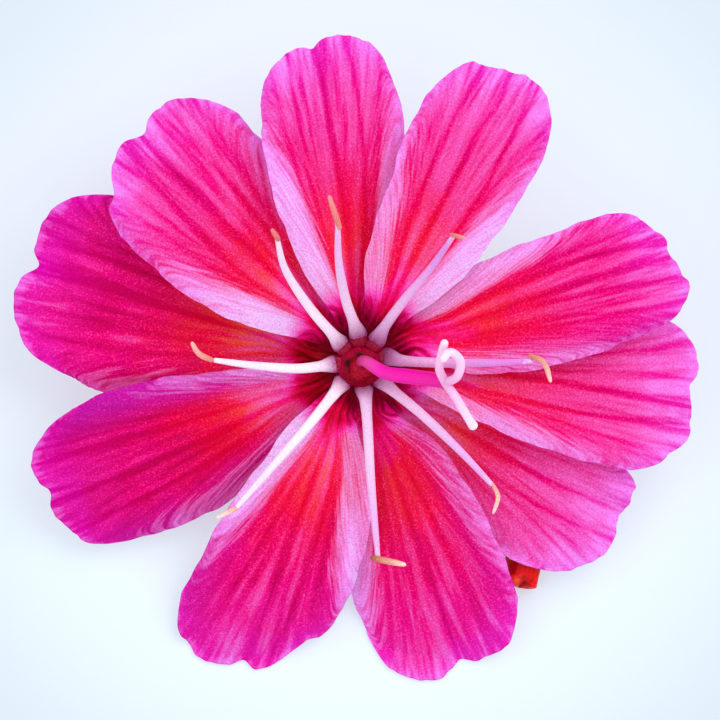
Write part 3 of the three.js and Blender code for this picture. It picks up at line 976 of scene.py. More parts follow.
        for low, high, bold in self.veins:
            side = 1.0 if low > 0 else -1.0
            bow = rng.uniform(-0.03, 0.03) * np.sin(rng.uniform(3, 6) * s + rng.uniform(0, 6))
            centre = lerp(low, high, np.clip((s - 0.4) / 0.5, -0.2, 1.2)) + bow
            fade = bold * (1 - 0.25 * smoothstep(s, 0.8, 1.0))
            draw(centre, fade, BOLD_CORE - 0.04 * smoothstep(s, 0.3, 0.9))
            for _ in range(2):
                fork = rng.uniform(0.3, 0.75)
                opens = rng.uniform(0.08, 0.2) * smoothstep(s, fork, 1.15) ** 0.8
                way = side if rng.uniform() < 0.7 else -side
                strength = bold * rng.uniform(0.5, 0.8) * smoothstep(s, fork, fork + 0.1)
                draw(centre + way * opens, strength, FORK_CORE)
        for home in np.linspace(-0.95, 0.95, VEINLETS) + rng.uniform(-0.06, 0.06, VEINLETS):
            starts = rng.uniform(0.25, 0.6)
            bow = rng.uniform(-0.05, 0.05) * np.sin(rng.uniform(3, 8) * s + rng.uniform(0, 6))
            strength = rng.uniform(0.25, 0.45) * smoothstep(s, starts, starts + 0.2)
            draw(home + bow, strength, FINE_CORE)
        for side in (-1, 1):
            for j in range(BARBS):
                leaves = 0.1 + 0.085 * j + rng.uniform(-0.02, 0.02)
                away = np.maximum(s - leaves, 0)
                centre = side * (FAN_EDGE + rng.uniform(0.9, 1.1) * self.sweep(s, away))
                strength = rng.uniform(0.25, 0.6) * smoothstep(s, leaves, leaves + 0.08)
                draw(centre, strength * (1 - 0.4 * smoothstep(away, 0.1, 0.5)), FINE_CORE)
        return drawn * smoothstep(s, -0.02, 0.1)

    def markings(self, s: Array, x: Array, across: Array, veins: Array) -> dict[str, Array]:
        """Works out the petal's veins, pale margins, warm base and the painted shade where it lies
        over its neighbours.

        Args:
            s: Places along it.
            x: Places across it.
            across: Distances across it in mm.
            veins: How strongly a vein runs through each place.

        Returns:
            The attributes that the petal's material reads.
        """
        q, _ = self.fan(s, across)
        margin, under = np.zeros_like(s), np.zeros_like(s)
        sides = ((-1, self.pale_cw, self.overlap_shade_cw), (1, self.pale_ccw, self.overlap_shade_ccw))
        for side, pale, purple in sides:
            strength = lerp(pale.base, pale.tip, smoothstep(s, 0.2, 0.95))
            inner_edge = lerp(pale.start, 1.0, smoothstep(s, 0.3, 0.9))
            depth = lerp(1.3, 0.35, np.clip(s, 0, 1))
            inside = smoothstep((side * q - inner_edge) / depth, 0.0, 1.0)
            margin += strength * smoothstep(s, 0.06, 0.16) * inside
            # Painted shade: a band along each side that lies over a neighbour.
            band = smoothstep(side * x, 0.35, 0.85) * smoothstep(s, 0.05, 0.2)
            under += purple * (band * (1 - smoothstep(s, 0.85, 1.0)))
        rim = np.maximum(0.1 * smoothstep(np.abs(x), 0.9, 1.0), 0.45 * smoothstep(s, 0.93, 1.0))
        beside = smoothstep(np.abs(q), 0.7, 1.5) * smoothstep(s, 0.08, 0.2)
        held = self.richness * lerp(0.8, 1.2, smoothstep(s, 0.1, 0.8))
        held = held * (0.85 + 0.15 * np.sin(5 * s + 3 * q + self.number))
        # Painted light: the bases of shaded petals are lightened, as if light passed through them.
        held = held - self.base_painted_light * smoothstep(s, 0.08, 0.15) * (1 - smoothstep(s, 0.2, 0.4))
        place, home, strength = self.flush
        held = held + strength * hump(s, place, 0.14) * hump(q, home, 0.7)
        return {
            "margin": np.maximum(margin, rim),
            "under": under,
            "warm": self.warmth * hump(s, 0.26, 0.16) * hump(q, 0, 0.95),
            "tone": np.clip(s + 0.3 * beside * (1 - s) ** 2 + self.shift, 0, 1),
            "pigment": held + self.depth * veins,
            "side": smoothstep(np.abs(q), FAN_EDGE - 0.04, FAN_EDGE + 0.3),
            "vein": veins,
            "barb": self.barbs(s, across),
        }

    def build(self, material: bpy.types.Material) -> None:
        """Makes the petal and dresses it.

        Args:
            material: The petals' tissue.
        """
        obj, s, x = add_sheet(f"{self.name}_blade", self.rows, self.columns)
        s = lerp(self.inner, 1.0, s)
        across = self.spread(s, x)[1]
        veins = self.vein_field(s, across)
        places, lie = self.surface(s, x, veins)
        move_vertices(obj, places)
        paint(obj, **self.markings(s, x, across, veins), lie=lie)
        thicken(obj, self.thickness, fullness(s, x, 0.25), self.thin)
        smooth(obj)
        finish_piece(obj, material, self.name)


PETALS = (
    Petal(
        1, 18,
        (0.38, 2.1, 3.0, 3.4, 3.45, 3.3), (0.38, 1.9, 2.9, 3.2, 3.3, 3.4),
        (14.8, 16.4, 17.2, 17.7, 17.65, 17.5, 17.4, 17.0, 16.45, 15.9, 14.8), ((0.45, 0.25),),
        (0.3, 0.3), (-0.9, -0.8), 0,
        Margin(0.35, 0.55, 1.15), Margin(0.75, 0.9, 0.8),
        (
            (0.24, 0.1, 1.0), (1.02, 0.47, 1.0), (1.2, 0.8, 0.6), (0.05, -0.3, 0.7),
            (-0.72, -0.46, 0.6), (-1.0, -0.8, 0.6), (-1.3, -1.0, 0.5),
        ),
        warmth=0.5, richness=0.2, flush=(0.28, -0.6, 0.35), overlap_shade_cw=0.3,
    ),
    Petal(
        2, 62,
        (0.38, 1.9, 2.8, 3.2, 3.45, 3.45), (0.38, 2.1, 2.75, 3.1, 3.5, 3.45),
        (14.0, 15.55, 16.5, 17.1, 17.4, 17.15, 17.05, 16.85, 16.35, 15.3, 14.0), ((1.2, 0.12),),
        (1.0, 0.85), (0, 0), 0.2,
        Margin(1.0, 1.0, 0.8), Margin(0.55, 0.85, 0.85),
        (
            (0.1, 0.08, 1.0), (-1.05, -0.45, 1.0), (-1.02, -0.97, 0.7), (0.95, 0.58, 1.0),
            (1.25, 0.95, 0.6), (1.45, 1.2, 0.5), (-0.4, -0.2, 0.3),
        ),
        warmth=0.15, richness=0.0,
    ),
    Petal(
        3, 97,
        (0.38, 1.7, 2.7, 3.4, 3.8, 3.55), (0.38, 2.1, 2.95, 3.5, 3.7, 3.6),
        (14.2, 15.7, 16.5, 17.0, 17.2, 17.05, 16.9, 16.55, 15.95, 15.3, 14.0), ((0.5, 0.3),),
        (0, 0), (0.9, 0.8), 0,
        Margin(0.7, 0.95, 0.85), Margin(0.95, 1.0, 0.75),
        (
            (-0.05, 0.1, 1.0), (-0.95, -0.48, 0.8), (-1.3, -1.0, 0.6), (-0.25, -0.2, 0.5),
            (0.6, 0.45, 0.5), (0.9, 0.65, 0.7), (1.25, 0.95, 0.6),
        ),
        warmth=0.4, richness=0.08, flush=(0.38, -0.4, 0.25), shift=0.02,
    ),
    Petal(
        4, 134,
        (0.38, 1.8, 2.9, 3.8, 4.3, 4.35), (0.38, 2.3, 3.5, 4.2, 4.45, 4.5),
        (13.9, 15.2, 16.25, 16.85, 17.0, 16.85, 16.9, 16.5, 15.6, 14.9, 13.5),
        ((-0.05, 0.25), (3.3, 0.25)),
        (0, 0), (0.9, 0.8), 0.2,
        Margin(0.35, 1.0, 0.95), Margin(1.05, 0.2, 0.85),
        (
            (0.05, 0.03, 1.0), (-0.75, -0.45, 0.7), (-1.05, -0.9, 0.6), (-0.3, -0.3, 0.5),
            (0.85, 0.3, 0.8), (1.15, 0.9, 0.6), (0.95, 0.7, 0.4),
        ),
        warmth=0.4, richness=0.14, base_painted_light=0.15, flush=(0.4, -0.3, 0.2),
    ),
    Petal(
        5, 164.5,
        (0.38, 1.8, 3.2, 4.3, 4.9, 4.9), (0.38, 1.8, 3.4, 4.5, 5.2, 4.8),
        (15.0, 16.7, 17.7, 18.2, 18.15, 18.35, 18.65, 18.3, 17.8, 16.9, 15.2), ((-0.25, 0.5),),
        (-0.95, -0.7), (0, 0), 0,
        Margin(0.2, 0.15, 1.2), Margin(0.35, 0.5, 1.05),
        (
            (0.02, -0.07, 1.0), (0.75, 0.45, 0.6), (1.2, 0.8, 0.7), (0.4, 0.25, 0.5),
            (-0.6, -0.4, 0.7), (-0.85, -0.7, 0.6), (1.5, 1.1, 0.4),
        ),
        warmth=1.45, richness=0.5, base_painted_light=0.42,
    ),
    Petal(
        6, 203.5,
        (0.38, 1.6, 2.5, 3.3, 3.8, 3.8), (0.38, 2.0, 3.2, 4.1, 4.15, 3.85),
        (15.0, 16.6, 17.6, 18.2, 18.25, 18.15, 18.15, 17.8, 17.4, 16.5, 15.0), ((-0.1, 0.25),),
        (0, 0), (-0.9, -0.8), 0.3,
        Margin(0.55, 0.1, 1.0), Margin(0.25, 0.5, 1.1),
        (
            (0.36, 0.1, 1.0), (-0.5, -0.5, 0.8), (-0.8, -1.0, 0.6), (1.1, 0.65, 0.8),
            (0.65, 0.45, 0.5), (1.4, 1.0, 0.6), (-0.1, -0.2, 0.3),
        ),
        warmth=0.5, richness=0.55, base_painted_light=0.52, flush=(0.4, 1.2, 0.2),
        overlap_shade_cw=0.75, overlap_shade_ccw=0.5,
    ),
    Petal(
        7, 248,
        (0.38, 2.2, 2.9, 3.6, 3.9, 4.15), (0.38, 2.0, 3.3, 3.9, 4.1, 3.9),
        (15.0, 16.7, 17.3, 17.85, 17.8, 17.5, 17.3, 16.4, 15.0, 14.4, 13.5), ((0.15, 0.3),),
        (0.95, 0.75), (0, 0), 0.9,
        Margin(1.1, 0.7, 0.85), Margin(0.5, 1.15, 0.65),
        (
            (0.03, 0.08, 1.0), (-0.58, -0.65, 0.8), (-0.25, -0.4, 0.5), (-1.0, -0.9, 0.6),
            (0.85, 0.5, 0.9), (1.1, 0.85, 0.7), (0.45, 0.3, 0.3),
        ),
        warmth=0.6, richness=0.33, base_painted_light=0.28, overlap_shade_cw=0.35, touches=True,
    ),
    Petal(
        8, 287,
        (0.38, 1.9, 3.0, 3.7, 4.05, 3.9), (0.38, 2.2, 3.2, 3.85, 4.2, 4.35),
        (14.1, 15.75, 16.65, 17.1, 17.45, 17.15, 17.0, 17.0, 16.7, 15.6, 14.5), ((0.5, 0.3),),
        (0, 0.3), (0.9, 0.9), 0.4,
        Margin(0.5, 1.2, 0.6), Margin(0.2, 0.85, 0.85),
        (
            (0.03, 0.1, 1.0), (0.68, 0.6, 0.8), (0.3, 0.35, 0.5), (-0.75, -0.55, 0.7),
            (-0.4, -0.35, 0.6), (1.3, 1.0, 0.6), (-1.0, -0.88, 0.5),
        ),
        warmth=0.5, richness=0.22, flush=(0.3, 0.7, 0.2), overlap_shade_ccw=0.3, touches=True,
    ),
    Petal(
        9, 324,
        (0.38, 1.8, 2.9, 3.5, 3.8, 3.85), (0.38, 1.6, 2.4, 3.1, 3.6, 3.7),
        (12.6, 14.0, 15.2, 15.9, 16.35, 16.55, 16.2, 16.0, 15.9, 15.6, 14.4), ((1.5, 0.15),),
        (-1.05, -0.25), (0.1, -0.2), 0,
        Margin(0.4, 0.8, 0.85), Margin(0.4, 0.4, 1.0),
        (
            (0.2, 0.47, 1.0), (-0.6, -0.05, 0.8), (-0.7, -0.35, 0.6), (0.8, 0.9, 0.7),
            (0.6, 0.68, 0.5), (-0.9, -0.8, 0.5), (-0.2, -0.1, 0.3),
        ),
        warmth=0.4, richness=-0.06, base_painted_light=0.25, flush=(0.42, 0.3, 0.2), shift=0.015,
    ),
    Petal(
        10, 353,
        (0.38, 1.7, 2.6, 3.3, 3.75, 4.0), (0.38, 1.1, 2.0, 3.0, 3.9, 4.4),
        (14.9, 16.2, 16.9, 17.65, 17.8, 17.7, 17.75, 17.8, 17.25, 16.4, 15.0), ((0.8, 0.3),),
        (-0.1, 0), (-0.9, -0.9), 0,
        Margin(0.65, 1.0, 0.75), Margin(0.4, 0.5, 0.9),
        (
            (0.12, -0.05, 1.0), (-0.7, -0.4, 0.9), (-1.0, -0.8, 0.7), (0.75, 0.75, 0.7),
            (0.4, 0.3, 0.6), (-1.2, -0.95, 0.5), (-0.3, -0.2, 0.3),
        ),
        warmth=0.25, richness=0.04,
    ),
)


@dataclass
class Stamen:
    """One stamen: a tapering filament and the pollen sac at its tip.

    The filament's points are (x, y, height above the petals' level), and the anther's ends have
    heights above the filament's tip.
    """

    number: int
    filament: Points
    anther: Points
    lilac: float = 0.2  # how far its filament takes up the petals' colour
    toasted: float = 0.5  # how brown the anther's one end is
    girth: float = 1.0  # of the anther, as a part of the stoutest one's
    ripe: float = 0.0  # how far along the run of colours the anther starts
    bow: tuple[float, float, float] = (0.0, 0.0, 0.18)  # of the sac's middle, mm
    grip: float = 0.22  # how far along an anther its filament holds it
    width: Pairs = (
        (0.0, 0.5), (0.08, 0.5), (0.14, 0.42), (0.22, 0.34),
        (0.3, 0.28), (0.6, 0.24), (0.9, 0.165), (1.0, 0.12),
    )
    sac_width: Pairs = (
        (0.0, 0.12), (0.1, 0.18), (0.35, 0.21), (0.7, 0.19), (0.92, 0.14), (1.0, 0.09),
    )

    def course(self) -> Course:
        """The filament's curve, from inside the throat's ring up to the anther."""
        points = [
            (x, y, float(corolla(np.array(x), np.array(y))) + rise)
            for x, y, rise in self.filament
        ]
        x, y, z = points[0]
        return Course([(0.5 * x, 0.5 * y, z + 0.02), (0.8 * x, 0.8 * y, z + 0.06), *points])

    def build_filament(self, course: Course, tissue: bpy.types.Material) -> None:
        """Makes the filament and dresses it.

        Args:
            course: Its curve.
            tissue: What it is made of.
        """

        def ribbon(along: Array, angle: Array) -> Array:
            """Flat and broad where it leaves the ring, round farther out."""
            return 1 - 0.45 * (1 - smoothstep(along, 0.1, 0.4)) * np.sin(angle) ** 2

        name = f"filament_{self.number}"
        obj, part, _ = add_rod(
            f"{name}_stalk", course, table(self.width), 24, 100, ribbon, level=True
        )
        near = part * course.length / FOOT_REACH
        along = lerp(near, part, smoothstep(part, 0.1, 0.4))
        paint(obj, along=along, fade=np.full_like(part, self.lilac))
        finish_piece(obj, tissue, name)

    def build_anther(self, tip: Array, tissue: bpy.types.Material) -> None:
        """Makes the anther and dresses it.

        Args:
            tip: Where its filament ends, mm.
            tissue: What it is made of.
        """

        def lobes(along: Array, angle: Array) -> Array:
            """Two fat lobes with a furrow between them on either side."""
            return 1 + 0.16 * np.cos(2 * angle) - 0.02 * np.cos(along * 40)

        ends = [np.array([x, y, tip[2] + rise]) for x, y, rise in self.anther]
        middle = (ends[0] + ends[1]) / 2 + np.array(self.bow)
        shift = tip - lerp(ends[0], ends[1], self.grip)
        course = Course([p + shift for p in (ends[0], middle, ends[1])])
        name = f"anther_{self.number}"
        radius = table([(place, self.girth * wide) for place, wide in self.sac_width])
        obj, part, _ = add_rod(f"{name}_sac", course, radius, 24, 48, lobes)
        fade = np.full_like(part, 1 - self.toasted)
        paint(obj, along=lerp(self.ripe, 1.0, part), fade=fade)
        finish_piece(obj, tissue, name)

    def build(self, filament: bpy.types.Material, sac: bpy.types.Material) -> None:
        """Makes and dresses the filament and the anther.

        Args:
            filament: The filament's tissue.
            sac: The pollen sac's tissue.
        """
        course = self.course()
        self.build_filament(course, filament)
        self.build_anther(course.at(np.array([1.0]))[0], sac)


STAMENS = (
    Stamen(
        1,
        (
            (-1.0, 0.85, 0.35), (-1.52, 1.45, 1.9), (-2.68, 2.81, 2.5), (-4.0, 4.9, 3.7),
            (-4.4, 6.5, 4.6),
        ),
        ((-4.2, 6.35, 0), (-4.55, 6.9, 0.9)),
        lilac=0.15, toasted=0.1, girth=0.85,
    ),
    Stamen(
        2,
        (
            (-0.12, 1.32, 0.35), (-0.4, 2.15, 2.05), (-0.77, 3.2, 2.6), (-1.15, 5.2, 4.2),
            (-1.2, 7.3, 5.3),
        ),
        ((-0.9, 7.1, 0), (-1.5, 8.9, 0.4)),
        lilac=0.5, toasted=0.2, girth=0.9,
    ),
    Stamen(
        3,
        ((0.8, 1.03, 0.4), (1.4, 2.0, 2.4), (2.25, 3.15, 3.1), (3.7, 4.9, 3.8), (4.9, 6.6, 4.8)),
        ((4.5, 6.7, -0.2), (5.3, 6.5, 0.5)),
        lilac=0.85, toasted=0.3, girth=0.6,
    ),
    Stamen(
        4,
        ((1.36, 0.22, 0.35), (2.2, 0.02, 1.95), (4.2, -0.1, 2.9), (6.9, -0.1, 4.0), (9.1, 0, 4.6)),
        ((8.8, 0.35, 0), (10.0, -1.1, 0.2)),
        lilac=0.95, toasted=0.7, girth=0.85, ripe=0.2, bow=(0.2, 0.34, 0.2),
    ),
    Stamen(
        5,
        (
            (1.01, -0.94, 0.4), (1.75, -1.6, 2.1), (3.15, -2.75, 2.5), (5.3, -4.8, 3.3),
            (6.98, -6.58, 3.6),
        ),
        ((6.95, -6.6, 0.2), (6.98, -8.2, 0.3)),
        lilac=0.7, toasted=0.8, girth=0.62, ripe=0.6, bow=(0.27, 0.1, 0.3), grip=0.06,
    ),
    Stamen(
        6,
        (
            (0.17, -1.43, 0.4), (0.28, -2.2, 2.1), (0.36, -3.3, 2.35), (0.55, -6.4, 2.4),
            (0.93, -10.5, 2.4),
        ),
        ((0.45, -10.5, 0), (2.36, -10.9, 0.2)),
        lilac=0.6, toasted=0.9,
    ),
    Stamen(
        7,
        (
            (-0.93, -1.1, 0.35), (-1.42, -1.75, 2.0), (-2.5, -3.1, 2.4), (-4.5, -5.4, 2.5),
            (-6.6, -7.8, 2.5),
        ),
        ((-6.6, -7.85, 0.2), (-7.7, -8.4, 1.1)),
        lilac=0.05, toasted=0.8, girth=0.6, ripe=0.7, grip=0.08,
    ),
    Stamen(
        8,
        (
            (-1.38, -0.15, 0.35), (-2.25, -0.3, 1.85), (-3.4, -0.4, 2.3), (-5.5, -0.25, 2.7),
            (-7.8, 0.05, 2.8),
        ),
        ((-7.8, 0.05, 0.1), (-8.98, 1.05, 0.3)),
        lilac=0.05, toasted=0.5, girth=0.8, ripe=0.4, bow=(-0.2, -0.12, 0.2), grip=0.04,
    ),
)


@dataclass
class Pistil:
    """The ovary in its ring, the leaning style and the stigma's curled arms."""

    style_points: Points = (
        (-0.1, -0.3, 5.0), (0.14, 0.02, 5.9), (1.3, -0.62, 7.0),
        (2.7, -0.84, 8.1), (4.02, -1.0, 9.08), (4.42, -1.1, 9.5),
    )
    two_arms: Points = (
        (6.05, -3.6, 10.5), (5.6, -2.9, 10.3), (5.0, -1.9, 9.9), (4.45, -1.1, 9.6),
        (4.15, -0.4, 9.9), (4.3, 0.5, 10.5), (4.45, 1.05, 11.2),
    )
    third_arm: Points = (
        (4.5, -1.15, 9.62), (5.1, -0.8, 10.4), (5.25, 0.0, 10.9), (4.7, 0.45, 11.5),
        (4.25, 0.0, 11.9),
    )
    ring: Pairs = (
        (0.0, 0.9), (0.3, 1.1), (0.5, 1.2), (0.6, 1.16), (0.68, 1.06), (0.74, 0.94),
        (0.78, 0.8), (0.8, 0.66), (0.83, 0.68), (0.89, 0.6), (0.95, 0.44), (1.0, 0.3),
    )
    style_width: Pairs = ((0, 0.2), (0.12, 0.28), (0.3, 0.35), (0.6, 0.4), (1.0, 0.39))
    arm_width: Pairs = ((0, 0.27), (0.12, 0.23), (0.5, 0.24), (1.0, 0.21))

    def build_ovary(self, wall: bpy.types.Material) -> None:
        """The swollen ovary, three-lobed, sitting in the ring that the filaments leave.

        Args:
            wall: The ovary's tissue.
        """

        def lobed(part: Array, angle: Array) -> Array:
            """Three soft lobes above and uneven knobs round the ring below."""
            knobs = -0.05
            for degrees in KNOB_ANGLES:
                home = math.radians(degrees - KNOB_TURN)
                knobs = knobs + 0.1 * hump(between(angle, home), 0, 0.24)
            lobes = 0.08 * np.cos(3 * angle + LOBE_TURN)
            return 1 + lerp(knobs, lobes, smoothstep(part, 0.77, 0.82))

        course = Course([on_axis(h) for h in (-0.45, 0.8, 2.05)])
        obj, part, angle = add_rod(
            "ovary_and_ring", course, table(self.ring), 64, 90, lobed, roundness=0.5
        )
        places = vertices_of(obj) / MM - np.array([*AXIS, 0.0])
        turn = np.arctan2(places[:, 1] + 0.35, places[:, 0])
        # Painted shade: the near-black second run in the pits, in the groove round the ring and in
        # the seams between the lobes.
        shaded_pits = sum(hump(between(turn, home), 0, 0.36) for home in SHADED_PIT_ANGLES)
        shaded_groove = hump(part, 0.79, 0.045)
        shaded_seams = smoothstep(np.cos(3 * angle + LOBE_TURN + math.pi), 0.8, 1.0)
        shaded_seams = shaded_seams * smoothstep(part, 0.82, 0.86)
        fade = np.clip(shaded_groove * (0.2 + 0.95 * shaded_pits) + 0.2 * shaded_seams, 0, 1)
        paint(obj, along=part, fade=fade)
        finish_piece(obj, wall, "ovary")

    def build_style(self, tissue: bpy.types.Material) -> None:
        """The style, slim at the ovary and stouter towards the stigma."""
        width = table(self.style_width)
        obj, part, _ = add_rod("style_column", Course(self.style_points), width, 24, 70)
        paint(obj, along=part, fade=np.zeros_like(part))
        finish_piece(obj, tissue, "style")

    def build_stigma(self, papillae: bpy.types.Material) -> None:
        """The stigma's arms, joined into one piece: two end to end, and a third at their middle.

        Args:
            papillae: The stigma's tissue.
        """
        width = table(self.arm_width)
        pair, part, _ = add_rod("stigma_arms", Course(self.two_arms), width, 20, 90)
        paint(pair, along=np.abs(part - 0.5) * 2, fade=np.full_like(part, ARM_FADE))
        third, part, _ = add_rod("stigma_third_arm", Course(self.third_arm), width, 20, 90)
        paint(third, along=part, fade=np.full_like(part, ARM_FADE))
        select(pair, third)
        bpy.ops.object.join()
        finish_piece(pair, papillae, "stigma")


@dataclass
class Sepal:
    """One of the two leaf-like sepals that hug the underside."""

    number: int
    azimuth: float
    half_width: tuple[float, ...] = (1.0, 1.7, 2.05, 2.1, 1.8, 1.2)
    tip: tuple[float, ...] = (5.4, 5.8, 6.2, 6.5, 6.75, 6.9, 6.75, 6.5, 6.2, 5.8, 5.4)
    start: float = 2.5
    full_radius: float = 3.2
    base_level: float = -1.75
    level: float = -2.15
    thickness: float = 0.3
    thin: float = 0.4  # its margin's share of that

    def build(self, tissue: bpy.types.Material) -> None:
        """Makes the sepal and dresses it.

        Args:
            tissue: The sepals' tissue.
        """
        obj, s, x = add_sheet(f"sepal_{self.number}_blade", 60, 48)
        toothed = 0.05 * np.abs(np.sin(s * 40)) * smoothstep(s, 0.2, 0.4)
        across = x * (spline(self.half_width, s) + toothed)
        along = lerp(self.start, spline(self.tip, (x + 1) / 2), s)
        px, py = turned(along, across, math.radians(self.azimuth))
        level = lerp(self.base_level, self.level, smoothstep(along, self.start, self.full_radius))
        ribs = 0.05 * np.cos(x * 7 * math.pi) * smoothstep(s, 0.05, 0.3) * (1 - s)
        move_vertices(obj, np.stack([px, py, corolla(px, py) + level + ribs], -1))
        paint(obj, along=s, fade=smoothstep(np.abs(x), 0.6, 1.0))
        thicken(obj, self.thickness, fullness(s, x, 0.3), self.thin)
        smooth(obj)
        finish_piece(obj, tissue, f"sepal_{self.number}")


@dataclass
class Stem:
    """The receptacle under the flower and the stem that curls round to its cut end."""

    points: Points = (
        (0, 0.45, 2.1), (-0.3, 1.6, 1.25), (0.5, 3.2, 0.85), (3.1, 3.9, 0.8),
        (6.4, 2.1, 0.8), (8.7, -1.6, 0.8), (9.6, -6.0, 0.8), (8.38, -12.08, 0.8),
    )
    radius: Pairs = ((0, 1.0), (0.97, 0.98), (1.0, 1.0))
    squash: float = 0.8  # its height as a part of its width
    flare: Pairs = ((0, 2.0), (0.1, 2.1), (0.3, 2.0), (0.6, 1.5), (1, 1.1))  # the receptacle's

    def build_receptacle(self) -> bpy.types.Object:
        """The swollen top, which the stem is then joined to."""
        course = Course([on_axis(h) for h in (-0.72, -1.5, -2.35)])
        cup, part, _ = add_rod("receptacle", course, table(self.flare), 64, 48, roundness=0.12)
        paint(cup, along=0.3 * part, fade=np.zeros_like(part))
        return cup

    @staticmethod
    def tear(stem: bpy.types.Object, course: Course, angle: Array, nick: Array) -> None:
        """Tears the cut end, so that its face is uneven, with a nick on its upper side.

        Args:
            stem: The stem's rod.
            course: Its curve.
            angle: Each vertex's angle round it.
            nick: How far each vertex lies in line with the nick.
        """
        back, cut = course.at(np.array([0.985, 1.0]))
        out = (cut - back) / np.linalg.norm(cut - back)
        centre = np.array([cut[0] + AXIS[0], cut[1] + AXIS[1], cut[2]]) * MM
        places = vertices_of(stem)
        beyond = (places - centre) @ out / MM
        wavy = -0.12 + 0.1 * np.cos(3 * angle) + 0.06 * np.cos(7 * angle) - 0.35 * nick
        places -= np.outer(np.maximum(beyond - wavy, 0) * 0.85 * MM, out)
        places[:, 2] = np.maximum(places[:, 2], 0.0)
        stem.data.vertices.foreach_set("co", places.astype(np.float32).ravel())

    def build(self, skin: bpy.types.Material) -> None:
        """Makes the receptacle and the stem as one piece and dresses it.

        Args:
            skin: The stem's skin.
        """

        def ridged(part: Array, angle: Array) -> Array:
            """Low ridges that wind slowly along the stem."""
            return 1 + 0.035 * np.cos(5 * angle + 3 * part) + 0.02 * np.cos(9 * angle - 4 * part)

        cup = self.build_receptacle()
        course = Course(self.points)
        stem, part, angle = add_rod(
            "stem_and_receptacle", course, table(self.radius), 48, 220, ridged, self.squash, 0.25
        )
        nick = hump(angle, 1.2, 0.22)
        self.tear(stem, course, angle, nick)
        # Painted highlight: the paler, orange second run on the ridges of the upper side and on one
        # side of the cut end.
        ridge_highlight = smoothstep(np.cos(5 * angle + 3 * part), 0.6, 1.0) * (np.sin(angle) > -0.2)
        cut_end_highlight = hump(angle, 1.75, 0.24) * smoothstep(part, 0.968, 0.986)
        ridge_highlight = np.where(part > 0.93, cut_end_highlight, 0.4 * ridge_highlight)
        # Painted shade on the stem's side where it passes under the petals, and in the nick at its
        # cut end.
        shaded = 0.12 * smoothstep(angle, 1.5, 2.5) * smoothstep(part, 0.8, 0.93)
        shaded = shaded * (1 - smoothstep(part, 0.96, 0.99))
        along = lerp(0.1, 1.0, part) - 0.55 * nick * smoothstep(part, 0.97, 0.99) - shaded
        paint(stem, along=along, fade=0.9 * ridge_highlight * smoothstep(part, 0.1, 0.3))
        select(stem, cup)
        bpy.ops.object.join()
        finish_piece(stem, skin, "stem")


# ---------- The studio ----------


class Light(Enum):
    """The studio's soft lights: place and size in metres, power in watts, colour."""

    KEY = ((0.32, 0.30, 0.55), 0.5, 2.1, "#FFFFFF")
    FILL = ((-0.45, -0.10, 0.50), 0.60, 0.7, "#F2F6FF")


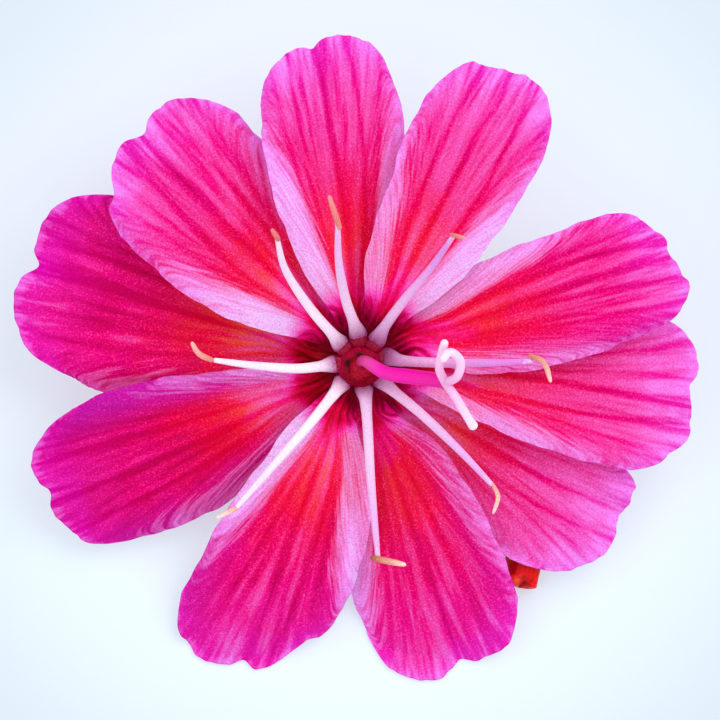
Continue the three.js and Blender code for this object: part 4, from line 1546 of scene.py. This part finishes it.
@dataclass
class Studio:
    """A plain pale surface that glows from within as painted light, soft light from the upper
    right, and a camera straight above.
    """

    distance: float = 0.9
    view_width: float = 38.16  # mm across the picture, at the petals' level
    petal_level: float = 5.0
    centre: tuple[float, float] = (0.175, -0.037)
    sensor: float = 36.0
    surface: str = "#A4AEB6"
    # Painted light: the glow that the surface gives off, though it is no lamp.
    glow: str = "#E8F4FE"
    painted_glow_reach: Span = (16 * MM, 29 * MM)  # painted light: the surface's glow fades from under the flower to beyond it
    painted_glow_strength: Span = (0.55, 0.36)
    air: str = "#FAFCFF"
    air_strength: float = 0.92

    def build_camera(self) -> None:
        """Sets the camera straight above the flower, far off with a long lens."""
        data = bpy.data.cameras.new("camera")
        data.sensor_width = self.sensor
        away = self.distance - self.petal_level * MM
        data.lens = self.sensor * away / (self.view_width * MM)
        camera = bpy.data.objects.new("camera", data)
        camera.location = (self.centre[0] * MM, self.centre[1] * MM, self.distance)
        bpy.context.scene.collection.objects.link(camera)
        bpy.context.scene.camera = camera

    def self_lit_panel(self) -> bpy.types.Material:
        """A matte, faintly cool pale surface that glows from within as painted light, brighter
        under the flower than beyond it.
        """
        made = bpy.data.materials.new("self_lit_panel")
        graph = Graph(made)
        here = graph.here()
        away = add_node(graph.tree, "VectorMath", {0: here}, operation="LENGTH").outputs["Value"]
        graph.finish(
            {
                "Base Color": colour(self.surface),
                "Roughness": 0.7,
                "Specular IOR Level": 0.2,
                "Normal": graph.bump(graph.noise(here, 900.0), 0.1, 0.02),
                "Emission Color": colour(self.glow),
                # Painted light: the surface glows, more strongly under the flower than beyond it.
                "Emission Strength": graph.remap(
                    away, self.painted_glow_reach, self.painted_glow_strength, interpolation_type="SMOOTHSTEP"
                ),
            }
        )
        return made

    def build_floor(self) -> None:
        """Lays the pale surface that the flower rests on."""
        deselect()
        bpy.ops.mesh.primitive_plane_add(size=4.0, location=(0, 0, 0))
        floor = bpy.context.object
        floor.name = "pale_surface"
        floor.data.materials.append(self.self_lit_panel())

    def build_lights(self) -> None:
        """Hangs the soft lights and fills the air with even light."""
        for light in Light:
            place, size, power, code = light.value
            data = bpy.data.lights.new(light.name.lower(), "AREA")
            data.size, data.energy = size, power
            data.color = colour(code)[:3]
            obj = bpy.data.objects.new(light.name.lower(), data)
            obj.location = place
            obj.rotation_euler = (-Vector(place)).to_track_quat("-Z", "Y").to_euler()
            bpy.context.scene.collection.objects.link(obj)
        world = bpy.data.worlds.new("soft_air")
        graph = Graph(world)
        values = {"Color": colour(self.air), "Strength": self.air_strength}
        back = add_node(graph.tree, "Background", values)
        add_node(graph.tree, "OutputWorld", {"Surface": back.outputs[0]})
        bpy.context.scene.world = world
        bpy.context.scene.view_settings.view_transform = "Standard"


def main() -> None:
    """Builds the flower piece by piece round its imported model."""
    logging.basicConfig(level=logging.INFO, format="%(name)s: %(message)s")
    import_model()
    studio = Studio()
    studio.build_camera()
    studio.build_floor()
    studio.build_lights()

    petal_tissue = PetalTissue().material()
    for petal in PETALS:
        petal.build(petal_tissue)
    filament, sac = FILAMENT_TISSUE.material(), POLLEN_SAC.material()
    for stamen in STAMENS:
        stamen.build(filament, sac)
    pistil = Pistil()
    pistil.build_ovary(OVARY_WALL.material())
    pistil.build_style(STYLE_TISSUE.material())
    pistil.build_stigma(STIGMA_PAPILLAE.material())
    sepal_tissue = SEPAL_TISSUE.material()
    for number, azimuth in ((1, 104), (2, 284)):
        Sepal(number, azimuth).build(sepal_tissue)
    Stem().build(STEM_SKIN.material())


if __name__ == "__main__":
    main()
